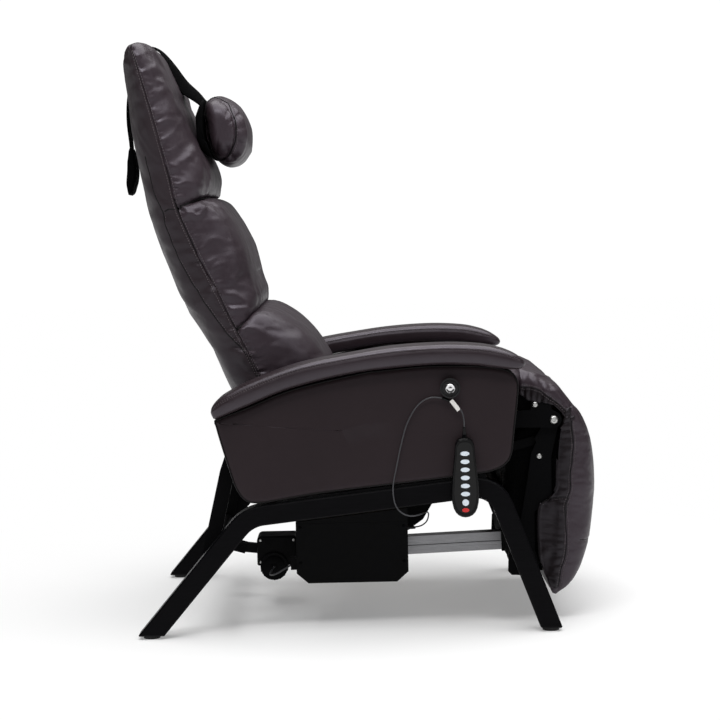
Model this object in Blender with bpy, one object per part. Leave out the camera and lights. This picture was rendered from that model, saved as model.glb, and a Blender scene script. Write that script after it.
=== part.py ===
"""Zero-gravity massage chair: two bent-wood side frames carry padded arms, a tilting seat with a
reclining back, a rising leg rest, a linear actuator under the seat and a hand control on a cord.
Metres, +X to the front, +Y to the sitter's left, +Z up, origin on the floor under the middle."""

import math

import bmesh
import bpy
from mathutils import Matrix, Vector

# ---------------------------------------------------------------- driving dimensions
GAP = 0.0003            # between touching pieces
RIGHT, LEFT = -1, 1     # side signs along Y

# Side frame, a bent strip of wood
WOOD_IN, WOOD_OUT = 0.300, 0.345        # inner and outer face, as |y|
WOOD_THICK = 0.041
WOOD_PATH = [(-0.4310, 0.0), (-0.2243, 0.2448), (0.2743, 0.2997), (0.3871, 0.0)]
WOOD_BENDS = [0.075, 0.060]
FOOT_HIGH = 0.006

# Arms
PANEL_IN, PANEL_OUT = 0.288, 0.348
PAD_IN, PAD_OUT = 0.276, 0.376

# Body widths, as half widths
CUSHION_HALF = 0.262
SEAT_PLATE = (0.250, 0.256)
BACK_PLATE = (0.240, 0.246)
LINK_PLATE = (0.230, 0.236)

# Pivots, all along Y, as (x, z)
SEAT_PIVOT = (0.085, 0.365)
BACK_PIVOT = (-0.150, 0.345)
LEG_PIVOT = (0.402, 0.420)
BACK_CRANK = (0.114, math.radians(-110))   # radius and direction from the back pivot
LEG_CRANK = (0.052, math.radians(-125))    # radius and direction from the leg-rest pivot
PIN_R = 0.005
LINK_PIN_R = 0.0035
LINK_EYE_R = 0.0072                        # roomy: this eye takes up the linkage's error
PIVOT_PIN_R = 0.008

# Actuator: the rail's centre line is z = RAIL_Z0 + x * tan(RAIL_SLOPE)
RAIL_SLOPE = math.radians(2.0)
RAIL_Z0 = 0.1195
RAIL_X = (-0.136, 0.3085)
RAIL_HALF = (0.0180, 0.0195)               # across Y and up
TILT = math.radians(18.0)                  # the seat's full tilt
CARRIAGE_PIN_UP = 0.032                    # above the rail's centre line

# Hand control, hanging from the hook on the right arm
HOOK = (0.186, 0.499)
REMOTE_X = 0.2125
REMOTE_HINGE_Z = 0.4330
REMOTE_Z = (0.2400, 0.4000)
REMOTE_Y = (-0.3740, -0.3520)
FACE_THICK = 0.0030
BUTTON_TRAVEL = 0.0012
OVAL_BUTTONS = ["recline_up", "recline_down", "back_massage", "seat_massage", "heat", "intensity"]
OVAL_TOP_Z, OVAL_STEP = 0.3690, 0.0162
CORD_R = 0.0015

# Pillow and its counterweight
PILLOW_HALF = 0.135
STRAP_HALF = 0.030
PILLOW_SLIDE = Vector((-0.438, 0.0, 0.899)).normalized()


# ---------------------------------------------------------------- materials
def material(name, colour, roughness, metallic=0.0):
    made = bpy.data.materials.new(name)
    made.use_nodes = True
    shader = made.node_tree.nodes["Principled BSDF"]
    shader.inputs["Base Color"].default_value = (*colour, 1.0)
    shader.inputs["Roughness"].default_value = roughness
    shader.inputs["Metallic"].default_value = metallic
    return made


# ---------------------------------------------------------------- outlines
def curve_through(points, steps=3, closed=False):
    """Points on a Catmull-Rom curve through the given (x, z) points, or (x, y, z) points."""
    pts = [Vector(p) for p in points]
    count = len(pts)
    made = []
    for i in range(count if closed else count - 1):
        if closed:
            a, b, c, d = (pts[(i + k) % count] for k in (-1, 0, 1, 2))
        else:
            b, c = pts[i], pts[i + 1]
            a = pts[i - 1] if i else b - (c - b)
            d = pts[i + 2] if i + 2 < count else c + (c - b)
        for k in range(steps):
            t = k / steps
            made.append(
                0.5 * (2 * b + (c - a) * t + (2 * a - 5 * b + 4 * c - d) * t * t
                       + (3 * b - 3 * c + d - a) * t ** 3)
            )
    if not closed:
        made.append(pts[-1])
    return made


def filleted(path, radii, steps=5):
    """An open (x, z) path whose inner corners are rounded by arcs."""
    pts = [Vector(p) for p in path]
    made = [pts[0]]
    for corner, radius, before, after in zip(pts[1:-1], radii, pts, pts[2:]):
        u = (before - corner).normalized()
        w = (after - corner).normalized()
        half = math.acos(max(-1.0, min(1.0, u.dot(w)))) / 2
        reach = radius / math.tan(half)
        centre = corner + (u + w).normalized() * (radius / math.sin(half))
        start, end = corner + u * reach - centre, corner + w * reach - centre
        sweep = math.atan2(start.x * end.y - start.y * end.x, start.dot(end))
        for k in range(steps + 1):
            made.append(centre + Matrix.Rotation(sweep * k / steps, 2) @ start)
    made.append(pts[-1])
    return made


def strip_outline(path, thick, level_ends=None):
    """The closed outline of a strip of the given thickness that follows an (x, z) path."""
    sides = {1: [], -1: []}
    for i, p in enumerate(path):
        before, after = path[max(i - 1, 0)], path[min(i + 1, len(path) - 1)]
        along = (after - before).normalized()
        if 0 < i < len(path) - 1:
            turn = (path[i + 1] - p).normalized().dot((p - path[i - 1]).normalized())
            spread = 1 / math.sqrt(max((1 + turn) / 2, 0.1))
        else:
            spread = 1.0
        for side in sides:
            off = Vector((-along.y, along.x)) * side * thick / 2 * spread
            q = p + off
            if level_ends is not None and i in (0, len(path) - 1):
                q += along * ((level_ends - q.y) / along.y)
            sides[side].append(q)
    return sides[1] + sides[-1][::-1]


def arc_points(centre, radius, start, end, steps):
    """Points on an arc about an (x, z) centre, angles in degrees."""
    made = []
    for k in range(steps + 1):
        a = math.radians(start + (end - start) * k / steps)
        made.append((centre[0] + radius * math.cos(a), centre[1] + radius * math.sin(a)))
    return made


def polar(centre, crank):
    radius, angle = crank
    return (centre[0] + radius * math.cos(angle), centre[1] + radius * math.sin(angle))


# ---------------------------------------------------------------- solids
def finish_mesh(name, bm, mat):
    bmesh.ops.recalc_face_normals(bm, faces=bm.faces)
    mesh = bpy.data.meshes.new(name)
    bm.to_mesh(mesh)
    bm.free()
    obj = bpy.data.objects.new(name, mesh)
    bpy.context.scene.collection.objects.link(obj)
    if mat:
        mesh.materials.append(mat)
    mesh.shade_smooth()
    mesh.set_sharp_from_angle(angle=math.radians(35))
    return obj


def prism(name, outline, y0, y1, mat=None):
    """An (x, z) outline extruded along Y."""
    bm = bmesh.new()
    low = [bm.verts.new((p[0], y0, p[1])) for p in outline]
    high = [bm.verts.new((p[0], y1, p[1])) for p in outline]
    bm.faces.new(low)
    bm.faces.new(high)
    for i in range(len(outline)):
        j = (i + 1) % len(outline)
        bm.faces.new((low[i], low[j], high[j], high[i]))
    return finish_mesh(name, bm, mat)


def cushion(name, outline, y0, y1, edge, mat, inset=0.80):
    """An (x, z) outline extruded along Y with soft, drawn-in ends."""
    middle = Vector((sum(p[0] for p in outline), sum(p[1] for p in outline))) / len(outline)
    rings = [(y0, inset), (y0 + edge * 0.3, (1 + 2 * inset) / 3 + 0.02), (y0 + edge, 1.0),
             (y1 - edge, 1.0), (y1 - edge * 0.3, (1 + 2 * inset) / 3 + 0.02), (y1, inset)]
    bm = bmesh.new()
    loops = []
    for y, size in rings:
        loop = []
        for p in outline:
            q = middle + (Vector((p[0], p[1])) - middle) * size
            loop.append(bm.verts.new((q.x, y, q.y)))
        loops.append(loop)
    for a, b in zip(loops, loops[1:]):
        for i in range(len(a)):
            j = (i + 1) % len(a)
            bm.faces.new((a[i], a[j], b[j], b[i]))
    bm.faces.new(loops[0])
    bm.faces.new(loops[-1])
    return finish_mesh(name, bm, mat)


def rod(name, start, end, radius, mat=None, sides=16):
    """A cylinder between two points."""
    start, end = Vector(start), Vector(end)
    axis = end - start
    turn = axis.to_track_quat("Z", "Y").to_matrix().to_4x4()
    bm = bmesh.new()
    bmesh.ops.create_cone(bm, cap_ends=True, segments=sides, radius1=radius, radius2=radius,
                          depth=axis.length, matrix=Matrix.Translation((start + end) / 2) @ turn)
    return finish_mesh(name, bm, mat)


def cross_rod(name, at, y0, y1, radius, mat=None, sides=16):
    """A cylinder along Y at (x, z)."""
    return rod(name, (at[0], y0, at[1]), (at[0], y1, at[1]), radius, mat, sides)


def block(name, low, high, mat=None):
    bm = bmesh.new()
    size = Vector(high) - Vector(low)
    place = Matrix.Translation((Vector(low) + Vector(high)) / 2) @ Matrix.Diagonal((*size, 1.0))
    bmesh.ops.create_cube(bm, size=1.0, matrix=place)
    return finish_mesh(name, bm, mat)


def soften(obj, width, segments=2, angle=40):
    bevel = obj.modifiers.new("edge", "BEVEL")
    bevel.width = width
    bevel.segments = segments
    bevel.limit_method = "ANGLE"
    bevel.angle_limit = math.radians(angle)
    return obj


def combine(obj, other, operation):
    """Adds a Boolean with a hidden tool object."""
    tool = obj.modifiers.new(operation.lower(), "BOOLEAN")
    tool.operation = operation
    tool.object = other
    other.hide_render = True
    other.display_type = "WIRE"
    return obj


def union(obj, *others):
    for other in others:
        combine(obj, other, "UNION")
    return obj


def cut(obj, *others):
    for other in others:
        combine(obj, other, "DIFFERENCE")
    return obj


def cord_tube(name, route, radius, mat, samples):
    """A plain tube along a smooth curve through the route's (x, y, z) points."""
    dense = curve_through(route, 24)
    run = [0.0]
    for a, b in zip(dense, dense[1:]):
        run.append(run[-1] + (b - a).length)
    points, at = [], 0
    for k in range(samples):
        want = run[-1] * k / (samples - 1)
        while at < len(run) - 2 and run[at + 1] < want:
            at += 1
        share = (want - run[at]) / max(run[at + 1] - run[at], 1e-9)
        points.append(dense[at].lerp(dense[at + 1], min(share, 1.0)))
    data = bpy.data.curves.new(name, "CURVE")
    data.dimensions = "3D"
    spline = data.splines.new("POLY")
    spline.points.add(len(points) - 1)
    for slot, p in zip(spline.points, points):
        slot.co = (*p, 1.0)
    data.bevel_depth = radius
    data.bevel_resolution = 2
    data.use_fill_caps = True
    data.materials.append(mat)
    obj = bpy.data.objects.new(name, data)
    bpy.context.scene.collection.objects.link(obj)
    return obj


def body(name, at, *pieces):
    """Parents pieces to an empty on the body's joint axis."""
    empty = bpy.data.objects.new(name, None)
    empty.location = at
    bpy.context.scene.collection.objects.link(empty)
    bpy.context.view_layer.update()
    for piece in pieces:
        piece.parent = empty
        piece.matrix_parent_inverse = empty.matrix_world.inverted()
    return empty


def side_name(side):
    return "right" if side == RIGHT else "left"


def span(side, inner, outer):
    """The y range between two |y| values on one side, low to high."""
    return tuple(sorted((side * inner, side * outer)))


# ---------------------------------------------------------------- fixed base
PAD_BOTTOM = curve_through(
    [(-0.282, 0.445), (-0.220, 0.470), (-0.128, 0.505), (0.008, 0.534), (0.139, 0.545),
     (0.231, 0.5435), (0.299, 0.535)], 2)


def side_frame(side, wood):
    path = filleted(WOOD_PATH, WOOD_BENDS, 6)
    outline = strip_outline(path, WOOD_THICK, FOOT_HIGH + GAP)
    y0, y1 = span(side, WOOD_IN, WOOD_OUT)
    frame = soften(prism("side_frame_" + side_name(side), outline, y0, y1, wood), 0.003, 1, 60)
    top = [(x, z - 0.0012) for x, z in ((0.2560, 0.3250), (0.1860, 0.3160), (0.0040, 0.2975),
                                        (-0.1500, 0.2770), (-0.1950, 0.2710))]
    cleat = prism("join_cleat_" + side_name(side), [(-0.1950, 0.2480), (0.2560, 0.2980)] + top,
                  *span(side, WOOD_IN + 0.005, WOOD_OUT - 0.005))
    return union(frame, cleat)


def foot_glide(side, x, place, rubber):
    y = side * (WOOD_IN + WOOD_OUT) / 2
    return rod(f"foot_{place}_{side_name(side)}", (x, y, 0), (x, y, FOOT_HIGH), 0.017, rubber, 20)


def arm_panel(side, leather):
    lower = curve_through(
        [(0.299, 0.534), (0.318, 0.524), (0.3245, 0.500), (0.316, 0.415), (0.309, 0.362),
         (0.294, 0.339), (0.262, 0.327), (0.186, 0.317), (0.004, 0.2985), (-0.150, 0.278),
         (-0.205, 0.272), (-0.236, 0.282), (-0.250, 0.307), (-0.266, 0.360), (-0.285, 0.430)], 2)
    upper = [Vector((p.x, p.y - 0.001)) for p in PAD_BOTTOM]
    y0, y1 = span(side, PANEL_IN, PANEL_OUT)
    name = "arm_panel_" + side_name(side)
    return cushion(name, upper + lower[1:-1], y0, y1, 0.008, leather, 0.965)


def arm_pad(side, leather):
    top = curve_through(
        [(0.299, 0.535), (0.326, 0.537), (0.337, 0.546), (0.318, 0.563), (0.287, 0.5765),
         (0.240, 0.5865), (0.178, 0.5895), (0.089, 0.586), (0.009, 0.5765), (-0.111, 0.555),
         (-0.209, 0.5225), (-0.262, 0.499), (-0.284, 0.482), (-0.293, 0.462), (-0.282, 0.445)], 2)
    y0, y1 = span(side, PAD_IN, PAD_OUT)
    return cushion("arm_pad_" + side_name(side), PAD_BOTTOM + top[1:-1], y0, y1, 0.012, leather)


def pivot_plate(side, steel):
    y0, y1 = span(side, PANEL_IN - 0.0065, PANEL_IN - GAP)
    x, z = SEAT_PIVOT
    outline = [(x - 0.075, z - 0.055), (x + 0.075, z - 0.045), (x + 0.060, z + 0.040),
               (x + 0.025, z + 0.070), (x - 0.025, z + 0.070), (x - 0.060, z + 0.035)]
    plate = prism("pivot_plate_" + side_name(side), outline, y0, y1, steel)
    hole = cross_rod("cut_pivot_" + side_name(side), SEAT_PIVOT, y0 - 0.01, y1 + 0.01,
                     PIVOT_PIN_R + 0.0006, None, 24)
    return cut(plate, hole)


def rail_point(x, up=0.0):
    """The (x, z) point on the rail's centre line at x, moved up square to the rail."""
    z = RAIL_Z0 + x * math.tan(RAIL_SLOPE)
    return Vector((x - up * math.sin(RAIL_SLOPE), z + up * math.cos(RAIL_SLOPE)))


def rail_outline(x0, x1, low, high):
    return [rail_point(x0, low), rail_point(x1, low), rail_point(x1, high), rail_point(x0, high)]


def front_cross_tube(steel):
    """The front tube between the side frames, with the hanger that holds the rail's front end."""
    at = (0.2885, 0.262)
    inner = WOOD_IN - GAP
    tube = cross_rod("front_cross_tube", at, -inner, inner, 0.0125, steel)
    cap_top = rail_point(0.3135, RAIL_HALF[1] + 0.004).y
    path = [Vector(p) for p in (at, (0.3135, 0.236), (0.3135, cap_top + GAP))]
    hanger = prism("join_hanger", strip_outline(path, 0.005), -0.018, 0.018)
    return union(tube, hanger)


REAR_TUBE = (-0.3120, 0.1400)
CLEVIS_PIN = (-0.2620, 0.1260)


def rear_cross_frame(steel):
    """The rear tube, its two stays up to the arms and the fork that holds the motor."""
    inner = WOOD_IN - GAP
    frame = cross_rod("rear_cross_frame", REAR_TUBE, -inner, inner, 0.0140, steel)
    for side in (RIGHT, LEFT):
        y0, y1 = span(side, PANEL_IN - 0.0065, PANEL_IN - GAP)
        path = [Vector(p) for p in (REAR_TUBE, (-0.2670, 0.3300), (-0.2350, 0.4200))]
        stay = prism("join_stay_" + side_name(side), strip_outline(path, 0.030), y0, y1)
        union(frame, stay)
        y0, y1 = span(side, 0.0105, 0.0150)
        path = [Vector(p) for p in (REAR_TUBE, (-0.2500, 0.1230))]
        ear = prism("join_ear_" + side_name(side), strip_outline(path, 0.022), y0, y1)
        union(frame, ear)
    pin = cross_rod("join_clevis_pin", CLEVIS_PIN, -0.017, 0.017, PIN_R - 0.001, None, 12)
    return union(frame, pin)


BOX_X, BOX_Y, BOX_Z = (-0.133, 0.100), (-0.215, -0.085), (0.083, 0.2085)
BOX_WALL = 0.003
LID_RISE = 0.0280


def box_outline(grow=0.0):
    """The control box's side view: square at the top, with cut lower corners."""
    x0, x1 = BOX_X[0] - grow, BOX_X[1] + grow
    z0, z1 = BOX_Z[0] - grow, BOX_Z[1]
    return [(x0, z1), (x0, z0 + 0.021), (x0 + 0.024, z0), (x1 - 0.024, z0), (x1, z0 + 0.021), (x1, z1)]


def control_box(metal):
    """An open-topped steel case with two tabs that hold it to the actuator's rail."""
    box = prism("control_box", box_outline(), BOX_Y[0], BOX_Y[1], metal)
    inside = [(x, z + (0.01 if z == BOX_Z[1] else 0)) for x, z in box_outline(-BOX_WALL)]
    hollow = prism("cut_box", inside, BOX_Y[0] + BOX_WALL, BOX_Y[1] - BOX_WALL)
    cut(box, hollow)
    for k, x in enumerate((-0.105, -0.045)):
        z = rail_point(x).y
        tab = block(f"join_tab_{k}", (x, BOX_Y[1] - BOX_WALL, z - 0.008),
                    (x + 0.020, -RAIL_HALF[0] - GAP, z + 0.002))
        union(box, tab)
    return box


def control_box_lid(metal):
    """A wedge-shaped cover that rises towards the front with the wooden rail beside it."""
    foot, edge = BOX_Z[1] + GAP, 0.0090
    x0, x1 = BOX_X
    lid = prism("control_box_lid", [(x0, foot), (x1, foot), (x1, foot + LID_RISE), (x0, foot + 0.0030)],
                BOX_Y[0], BOX_Y[1], metal)
    rim = block("join_lid_rim", (x0 + 0.006, BOX_Y[0] + 0.006, BOX_Z[1] - 0.004),
                (x1 - 0.006, BOX_Y[1] - 0.006, BOX_Z[1] + 0.002))
    union(lid, rim)
    hollow = prism("cut_lid", [(x0 + edge, foot - 0.020), (x1 - edge, foot - 0.020),
                               (x1 - edge, foot + LID_RISE - 0.0035), (x0 + edge, foot + 0.0015)],
                   BOX_Y[0] + edge, BOX_Y[1] - edge)
    return cut(lid, hollow)


def control_board(green):
    """The circuit board with its transformer and connector block."""
    board = block("control_board", (-0.110, -0.205, 0.1080), (0.078, -0.098, 0.1100), green)
    transformer = block("join_transformer", (-0.095, -0.185, 0.1090), (-0.040, -0.125, 0.1500))
    sockets = block("join_sockets", (0.045, -0.195, 0.1090), (0.070, -0.110, 0.1250))
    feet = [rod(f"join_standoff_{i}{j}", (x, y, BOX_Z[0] + BOX_WALL + GAP), (x, y, 0.1090), 0.004,
                None, 8)
            for i, x in enumerate((-0.098, 0.066)) for j, y in enumerate((-0.195, -0.108))]
    return union(board, transformer, sockets, *feet)


def power_inlet(plastic):
    """The socket that takes the mains lead, on the control box's rear wall."""
    x = BOX_X[0] - GAP
    inlet = block("power_inlet", (x - 0.012, -0.205, 0.1100), (x, -0.173, 0.1340), plastic)
    mouth = block("cut_inlet", (x - 0.020, -0.201, 0.1135), (x - 0.004, -0.177, 0.1305))
    return cut(inlet, mouth)


def actuator_motor(metal):
    """The gear housing with the motor lying across it and the ear that the rear fork holds."""
    housing = prism("actuator_motor", [(-0.225, 0.088), (-0.137, 0.088), (-0.137, 0.148),
                                       (-0.143, 0.153), (-0.219, 0.153), (-0.225, 0.147)],
                    -0.036, 0.036, metal)
    soften(housing, 0.004, 2, 40)
    motor = cross_rod("join_motor_can", (-0.188, 0.088), -0.045, 0.075, 0.030, None, 24)
    path = [Vector((-0.2720, 0.1270)), Vector((-0.2200, 0.1210))]
    ear = prism("join_motor_ear", strip_outline(path, 0.020), -0.0095, 0.0095)
    hole = cross_rod("cut_motor_ear", CLEVIS_PIN, -0.02, 0.02, PIN_R, None, 16)
    return cut(union(housing, motor, ear), hole)


def actuator_rail(aluminium):
    """The extruded rail with a groove along each side."""
    half, high = RAIL_HALF
    section = [(-half, -high), (half, -high), (half, -0.001), (half - 0.004, -0.001),
               (half - 0.004, 0.004), (half, 0.004), (half, high), (-half, high), (-half, 0.004),
               (-half + 0.004, 0.004), (-half + 0.004, -0.001), (-half, -0.001)]
    bm = bmesh.new()
    loops = []
    for x in RAIL_X:
        loop = []
        for y, up in section:
            p = rail_point(x, up)
            loop.append(bm.verts.new((p.x, y, p.y)))
        loops.append(loop)
    for i in range(len(section)):
        j = (i + 1) % len(section)
        bm.faces.new((loops[0][i], loops[0][j], loops[1][j], loops[1][i]))
    bm.faces.new(loops[0])
    bm.faces.new(loops[1])
    return finish_mesh("actuator_rail", bm, aluminium)


def rail_end_cap(plastic):
    high = RAIL_HALF[1] + 0.0037
    outline = rail_outline(RAIL_X[1] + GAP, RAIL_X[1] + 0.0100, -high, high)
    return prism("rail_end_cap", outline, -0.0210, 0.0210, plastic)


def remote_hook(rubber):
    y = -PANEL_OUT - GAP
    hook = cross_rod("remote_hook", HOOK, y - 0.0130, y, 0.0180, rubber, 32)
    return soften(hook, 0.002, 2, 50)


def remote_hook_cap(silver):
    y = -PANEL_OUT - 2 * GAP - 0.0130
    cap = cross_rod("remote_hook_cap", HOOK, y - 0.0060, y, 0.0095, silver, 24)
    return soften(cap, 0.002, 2, 50)


REMOTE_ROUTE = [
    (0.1003, -0.1500, 0.1850), (0.1120, -0.1500, 0.1856), (0.1290, -0.1620, 0.1905),
    (0.1400, -0.1900, 0.2040), (0.1430, -0.2300, 0.2230), (0.1400, -0.2750, 0.2370),
    (0.1330, -0.3130, 0.2430), (0.1210, -0.3400, 0.2430), (0.1040, -0.3520, 0.2425),
    (0.0880, -0.3545, 0.2480), (0.0760, -0.3545, 0.2600), (0.0700, -0.3542, 0.2780),
    (0.0690, -0.3540, 0.3050), (0.0760, -0.3540, 0.3400), (0.0870, -0.3540, 0.3890),
    (0.1000, -0.3540, 0.4310), (0.1200, -0.3540, 0.4640), (0.1420, -0.3545, 0.4790),
    (0.1640, -0.3550, 0.4800), (0.1830, -0.3560, 0.4740), (0.1990, -0.3585, 0.4640),
    (0.2090, -0.3610, 0.4500), (REMOTE_X, -0.3630, REMOTE_HINGE_Z + 0.0004),
]
HANDSET_ROUTE = [
    (REMOTE_X, -0.3630, REMOTE_HINGE_Z - 0.0004), (REMOTE_X, -0.3630, 0.4225),
    (REMOTE_X, -0.3630, 0.4115), (REMOTE_X, -0.3630, REMOTE_Z[1] + GAP),
]
MOTOR_ROUTE = [
    (-0.1880, -0.0453, 0.0900), (-0.1880, -0.0560, 0.0885), (-0.1920, -0.0680, 0.0845),
    (-0.1950, -0.0820, 0.0810), (-0.1930, -0.0970, 0.0800), (-0.1850, -0.1100, 0.0830),
    (-0.1730, -0.1200, 0.0900), (-0.1600, -0.1270, 0.0990), (-0.1470, -0.1295, 0.1060),
    (BOX_X[0] - GAP, -0.1300, 0.1080),
]


# ---------------------------------------------------------------- seat
SEAT_BOTTOM = [(-0.0930, 0.3760), (0.3320, 0.4440)]     # the cushion's flat underside


def seat_under(x, drop=0.0):
    (x0, z0), (x1, z1) = SEAT_BOTTOM
    return (x, z0 + (z1 - z0) * (x - x0) / (x1 - x0) - drop)


def seat_frame(steel):
    """Two side plates, two cross tubes and the outward pins that the chair tilts on."""
    frame = cross_rod("seat_frame", (0.3000, 0.4130), -0.251, 0.251, 0.0110, steel, 12)
    rear = cross_rod("join_seat_rear", (-0.0950, 0.3450), -0.251, 0.251, 0.0110, None, 12)
    union(frame, rear)
    for side in (RIGHT, LEFT):
        y0, y1 = span(side, *SEAT_PLATE)
        outline = (arc_points(BACK_PIVOT, 0.020, 115, 265, 5)
                   + [(-0.090, 0.3290), (0.085, 0.3440), (0.220, 0.3850), (0.330, 0.4050)]
                   + arc_points(LEG_PIVOT, 0.0170, -75, 80, 5)
                   + [(0.3985, 0.4420), (0.3960, 0.4535), (0.3800, 0.4610), (0.3565, 0.4690),
                      (0.3550, 0.4410), seat_under(0.320, 0.003), seat_under(-0.085, 0.003)])
        plate = prism("join_seat_plate_" + side_name(side), outline, y0, y1)
        union(frame, plate)
        p0, p1 = span(side, SEAT_PLATE[1] - 0.002, PANEL_IN - 0.0008)
        union(frame, cross_rod("join_tilt_pin_" + side_name(side), SEAT_PIVOT, p0, p1, PIVOT_PIN_R))
        for place, at in (("back", BACK_PIVOT), ("leg", LEG_PIVOT)):
            cut(frame, cross_rod(f"cut_seat_{place}_{side_name(side)}", at, y0 - 0.004, y1 + 0.004,
                                 PIN_R + 0.0006, None, 16))
    return frame


def seat_board(wood):
    half = SEAT_PLATE[0] - 0.002
    outline = [seat_under(-0.090, 0.0125), seat_under(0.330, 0.0125),
               seat_under(0.330, GAP), seat_under(-0.090, GAP)]
    return prism("seat_board", outline, -half, half, wood)


def seat_cushion(leather):
    top = curve_through(
        [(0.332, 0.4442), (0.3500, 0.4700), (0.3520, 0.5020), (0.3380, 0.5230), (0.3000, 0.5270),
         (0.2300, 0.5080), (0.1200, 0.4660), (0.0000, 0.4400), (-0.0700, 0.4330),
         (-0.0930, 0.4200), (-0.0930, 0.3762)], 2)
    return cushion("seat_cushion", top, -CUSHION_HALF, CUSHION_HALF, 0.018, leather, 0.86)


def seat_vibration_motor(metal):
    """A massage motor hung under the seat board."""
    x, z = seat_under(0.040, 0.0128)
    slope = Vector(SEAT_BOTTOM[1]) - Vector(SEAT_BOTTOM[0])
    down = Vector((slope.y, 0.0, -slope.x)).normalized()
    start = Vector((x, 0.080, z)) + down * 0.0008
    return rod("seat_vibration_motor", start, start + down * 0.024, 0.026, metal, 20)


def knee_roll(leather):
    """The soft apron that bridges the seat cushion and the leg rest over the knee."""
    outer = curve_through([(0.3530, 0.5165), (0.3780, 0.5090), (0.4080, 0.4930), (0.4320, 0.4730),
                           (0.4470, 0.4575)], 2)
    inner = curve_through([(0.4260, 0.4440), (0.4080, 0.4530), (0.3800, 0.4660), (0.3530, 0.4760)], 2)
    return cushion("knee_roll", outer + inner, -CUSHION_HALF, CUSHION_HALF, 0.014, leather, 0.92)


def carriage_at_rest():
    """The carriage pin's (x, z) at rest: half of the tilt before the pivot's foot on its line."""
    foot = rail_point(0.0, CARRIAGE_PIN_UP)
    along = Vector((math.cos(RAIL_SLOPE), math.sin(RAIL_SLOPE)))
    pivot = Vector(SEAT_PIVOT)
    reach = (pivot - foot).dot(along)
    nearest = foot + along * reach
    height = (pivot - nearest).length
    return nearest - along * (height * math.tan(TILT / 2)), nearest, height


def drive_lever(steel):
    """A cross tube under the seat with the slotted fork that the actuator's pin pushes."""
    pin, nearest, height = carriage_at_rest()
    toward = (Vector(SEAT_PIVOT) - pin).normalized()
    slot_run = height / math.cos(TILT / 2) - height
    lever = cross_rod("drive_lever", (0.1850, 0.3750), -0.2490, 0.2490, 0.0120, steel)
    ends = [pin + Vector((-0.020, 0.012)), pin + Vector((-0.012, -0.014)),
            pin + Vector((0.014, -0.016)), (0.1380, 0.1830), (0.1720, 0.2400), (0.1990, 0.3750),
            (0.1710, 0.3750), (0.1400, 0.2650), (0.1080, 0.2160), pin + Vector((0.004, 0.026))]
    for side in (RIGHT, LEFT):
        y0, y1 = span(side, 0.0270, 0.0330)
        union(lever, prism("join_fork_" + side_name(side), ends, y0, y1))
    wide = PIN_R + 0.0006
    low, high = pin - toward * 0.0006, pin + toward * (slot_run + 0.0006)
    across = Vector((-toward.y, toward.x)) * wide
    start = math.degrees(math.atan2(across.y, across.x))
    slot = arc_points(low, wide, start, start + 180, 6) + arc_points(high, wide, start + 180,
                                                                     start + 360, 6)
    return cut(lever, prism("cut_fork_slot", slot, -0.05, 0.05))


def actuator_carriage(steel):
    """The slider that the screw drives along the rail, with the pin it pushes the fork by."""
    pin = carriage_at_rest()[0]
    half, high = RAIL_HALF
    x0, x1 = pin.x - 0.030, pin.x + 0.030
    slider = prism("actuator_carriage", rail_outline(x0, x1, -0.012, 0.0390), -0.0245, 0.0245, steel)
    tunnel = prism("cut_tunnel", rail_outline(x0 - 0.01, x1 + 0.01, -0.020, high + 0.0006),
                   -half - 0.0006, half + 0.0006)
    bar = cross_rod("join_carriage_pin", pin, -0.0360, 0.0360, PIN_R, None, 16)
    return union(cut(slider, tunnel), bar)


# ---------------------------------------------------------------- backrest
SEAM = [(-0.4420, 1.1980), (-0.4330, 1.1660), (-0.4180, 1.1120), (-0.3970, 1.0310),
        (-0.3740, 0.9410), (-0.3600, 0.8750), (-0.3450, 0.8340), (-0.3180, 0.7740),
        (-0.2840, 0.7030), (-0.2450, 0.6210), (-0.2050, 0.5350), (-0.1680, 0.4600),
        (-0.1480, 0.4250)]
REAR = [(-0.2230, 0.3930), (-0.2420, 0.4350), (-0.2740, 0.5110), (-0.3130, 0.5950),
        (-0.3600, 0.6790), (-0.3950, 0.7620), (-0.4210, 0.8450), (-0.4350, 0.9270),
        (-0.4520, 1.0090), (-0.4610, 1.1010), (-0.4640, 1.1620)]


def seam_x(z):
    """The x of the line between the front pads and the rear shell at height z."""
    for (x0, z0), (x1, z1) in zip(SEAM, SEAM[1:]):
        if z0 >= z >= z1:
            return x0 + (x1 - x0) * (z - z0) / (z1 - z0)
    return SEAM[-1][0]


def seam_between(high, low):
    """The seam's points from one height down to another, both ends included."""
    inner = [p for p in SEAM if low + 0.004 < p[1] < high - 0.004]
    return [(seam_x(high), high)] + inner + [(seam_x(low), low)]


def back_pad(name, front, high, low, leather, edge=0.016):
    """A pad between the seam and its own front outline, which is given from bottom to top."""
    outline = [Vector(p) for p in seam_between(high, low)] + curve_through(front, 2)
    return cushion(name, outline, -CUSHION_HALF, CUSHION_HALF, edge, leather, 0.88)


def head_pad(leather):
    front = [(-0.3300, 0.8790), (-0.3100, 0.8850), (-0.2980, 0.9000), (-0.2930, 0.9270),
             (-0.2970, 0.9550), (-0.3120, 0.9850), (-0.3290, 1.0150), (-0.3420, 1.0480),
             (-0.3580, 1.0970), (-0.3790, 1.1400), (-0.3960, 1.1700), (-0.4200, 1.1990),
             (-0.4380, 1.2020)]
    return back_pad("head_pad", front, 1.1980, 0.8690, leather)


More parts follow.
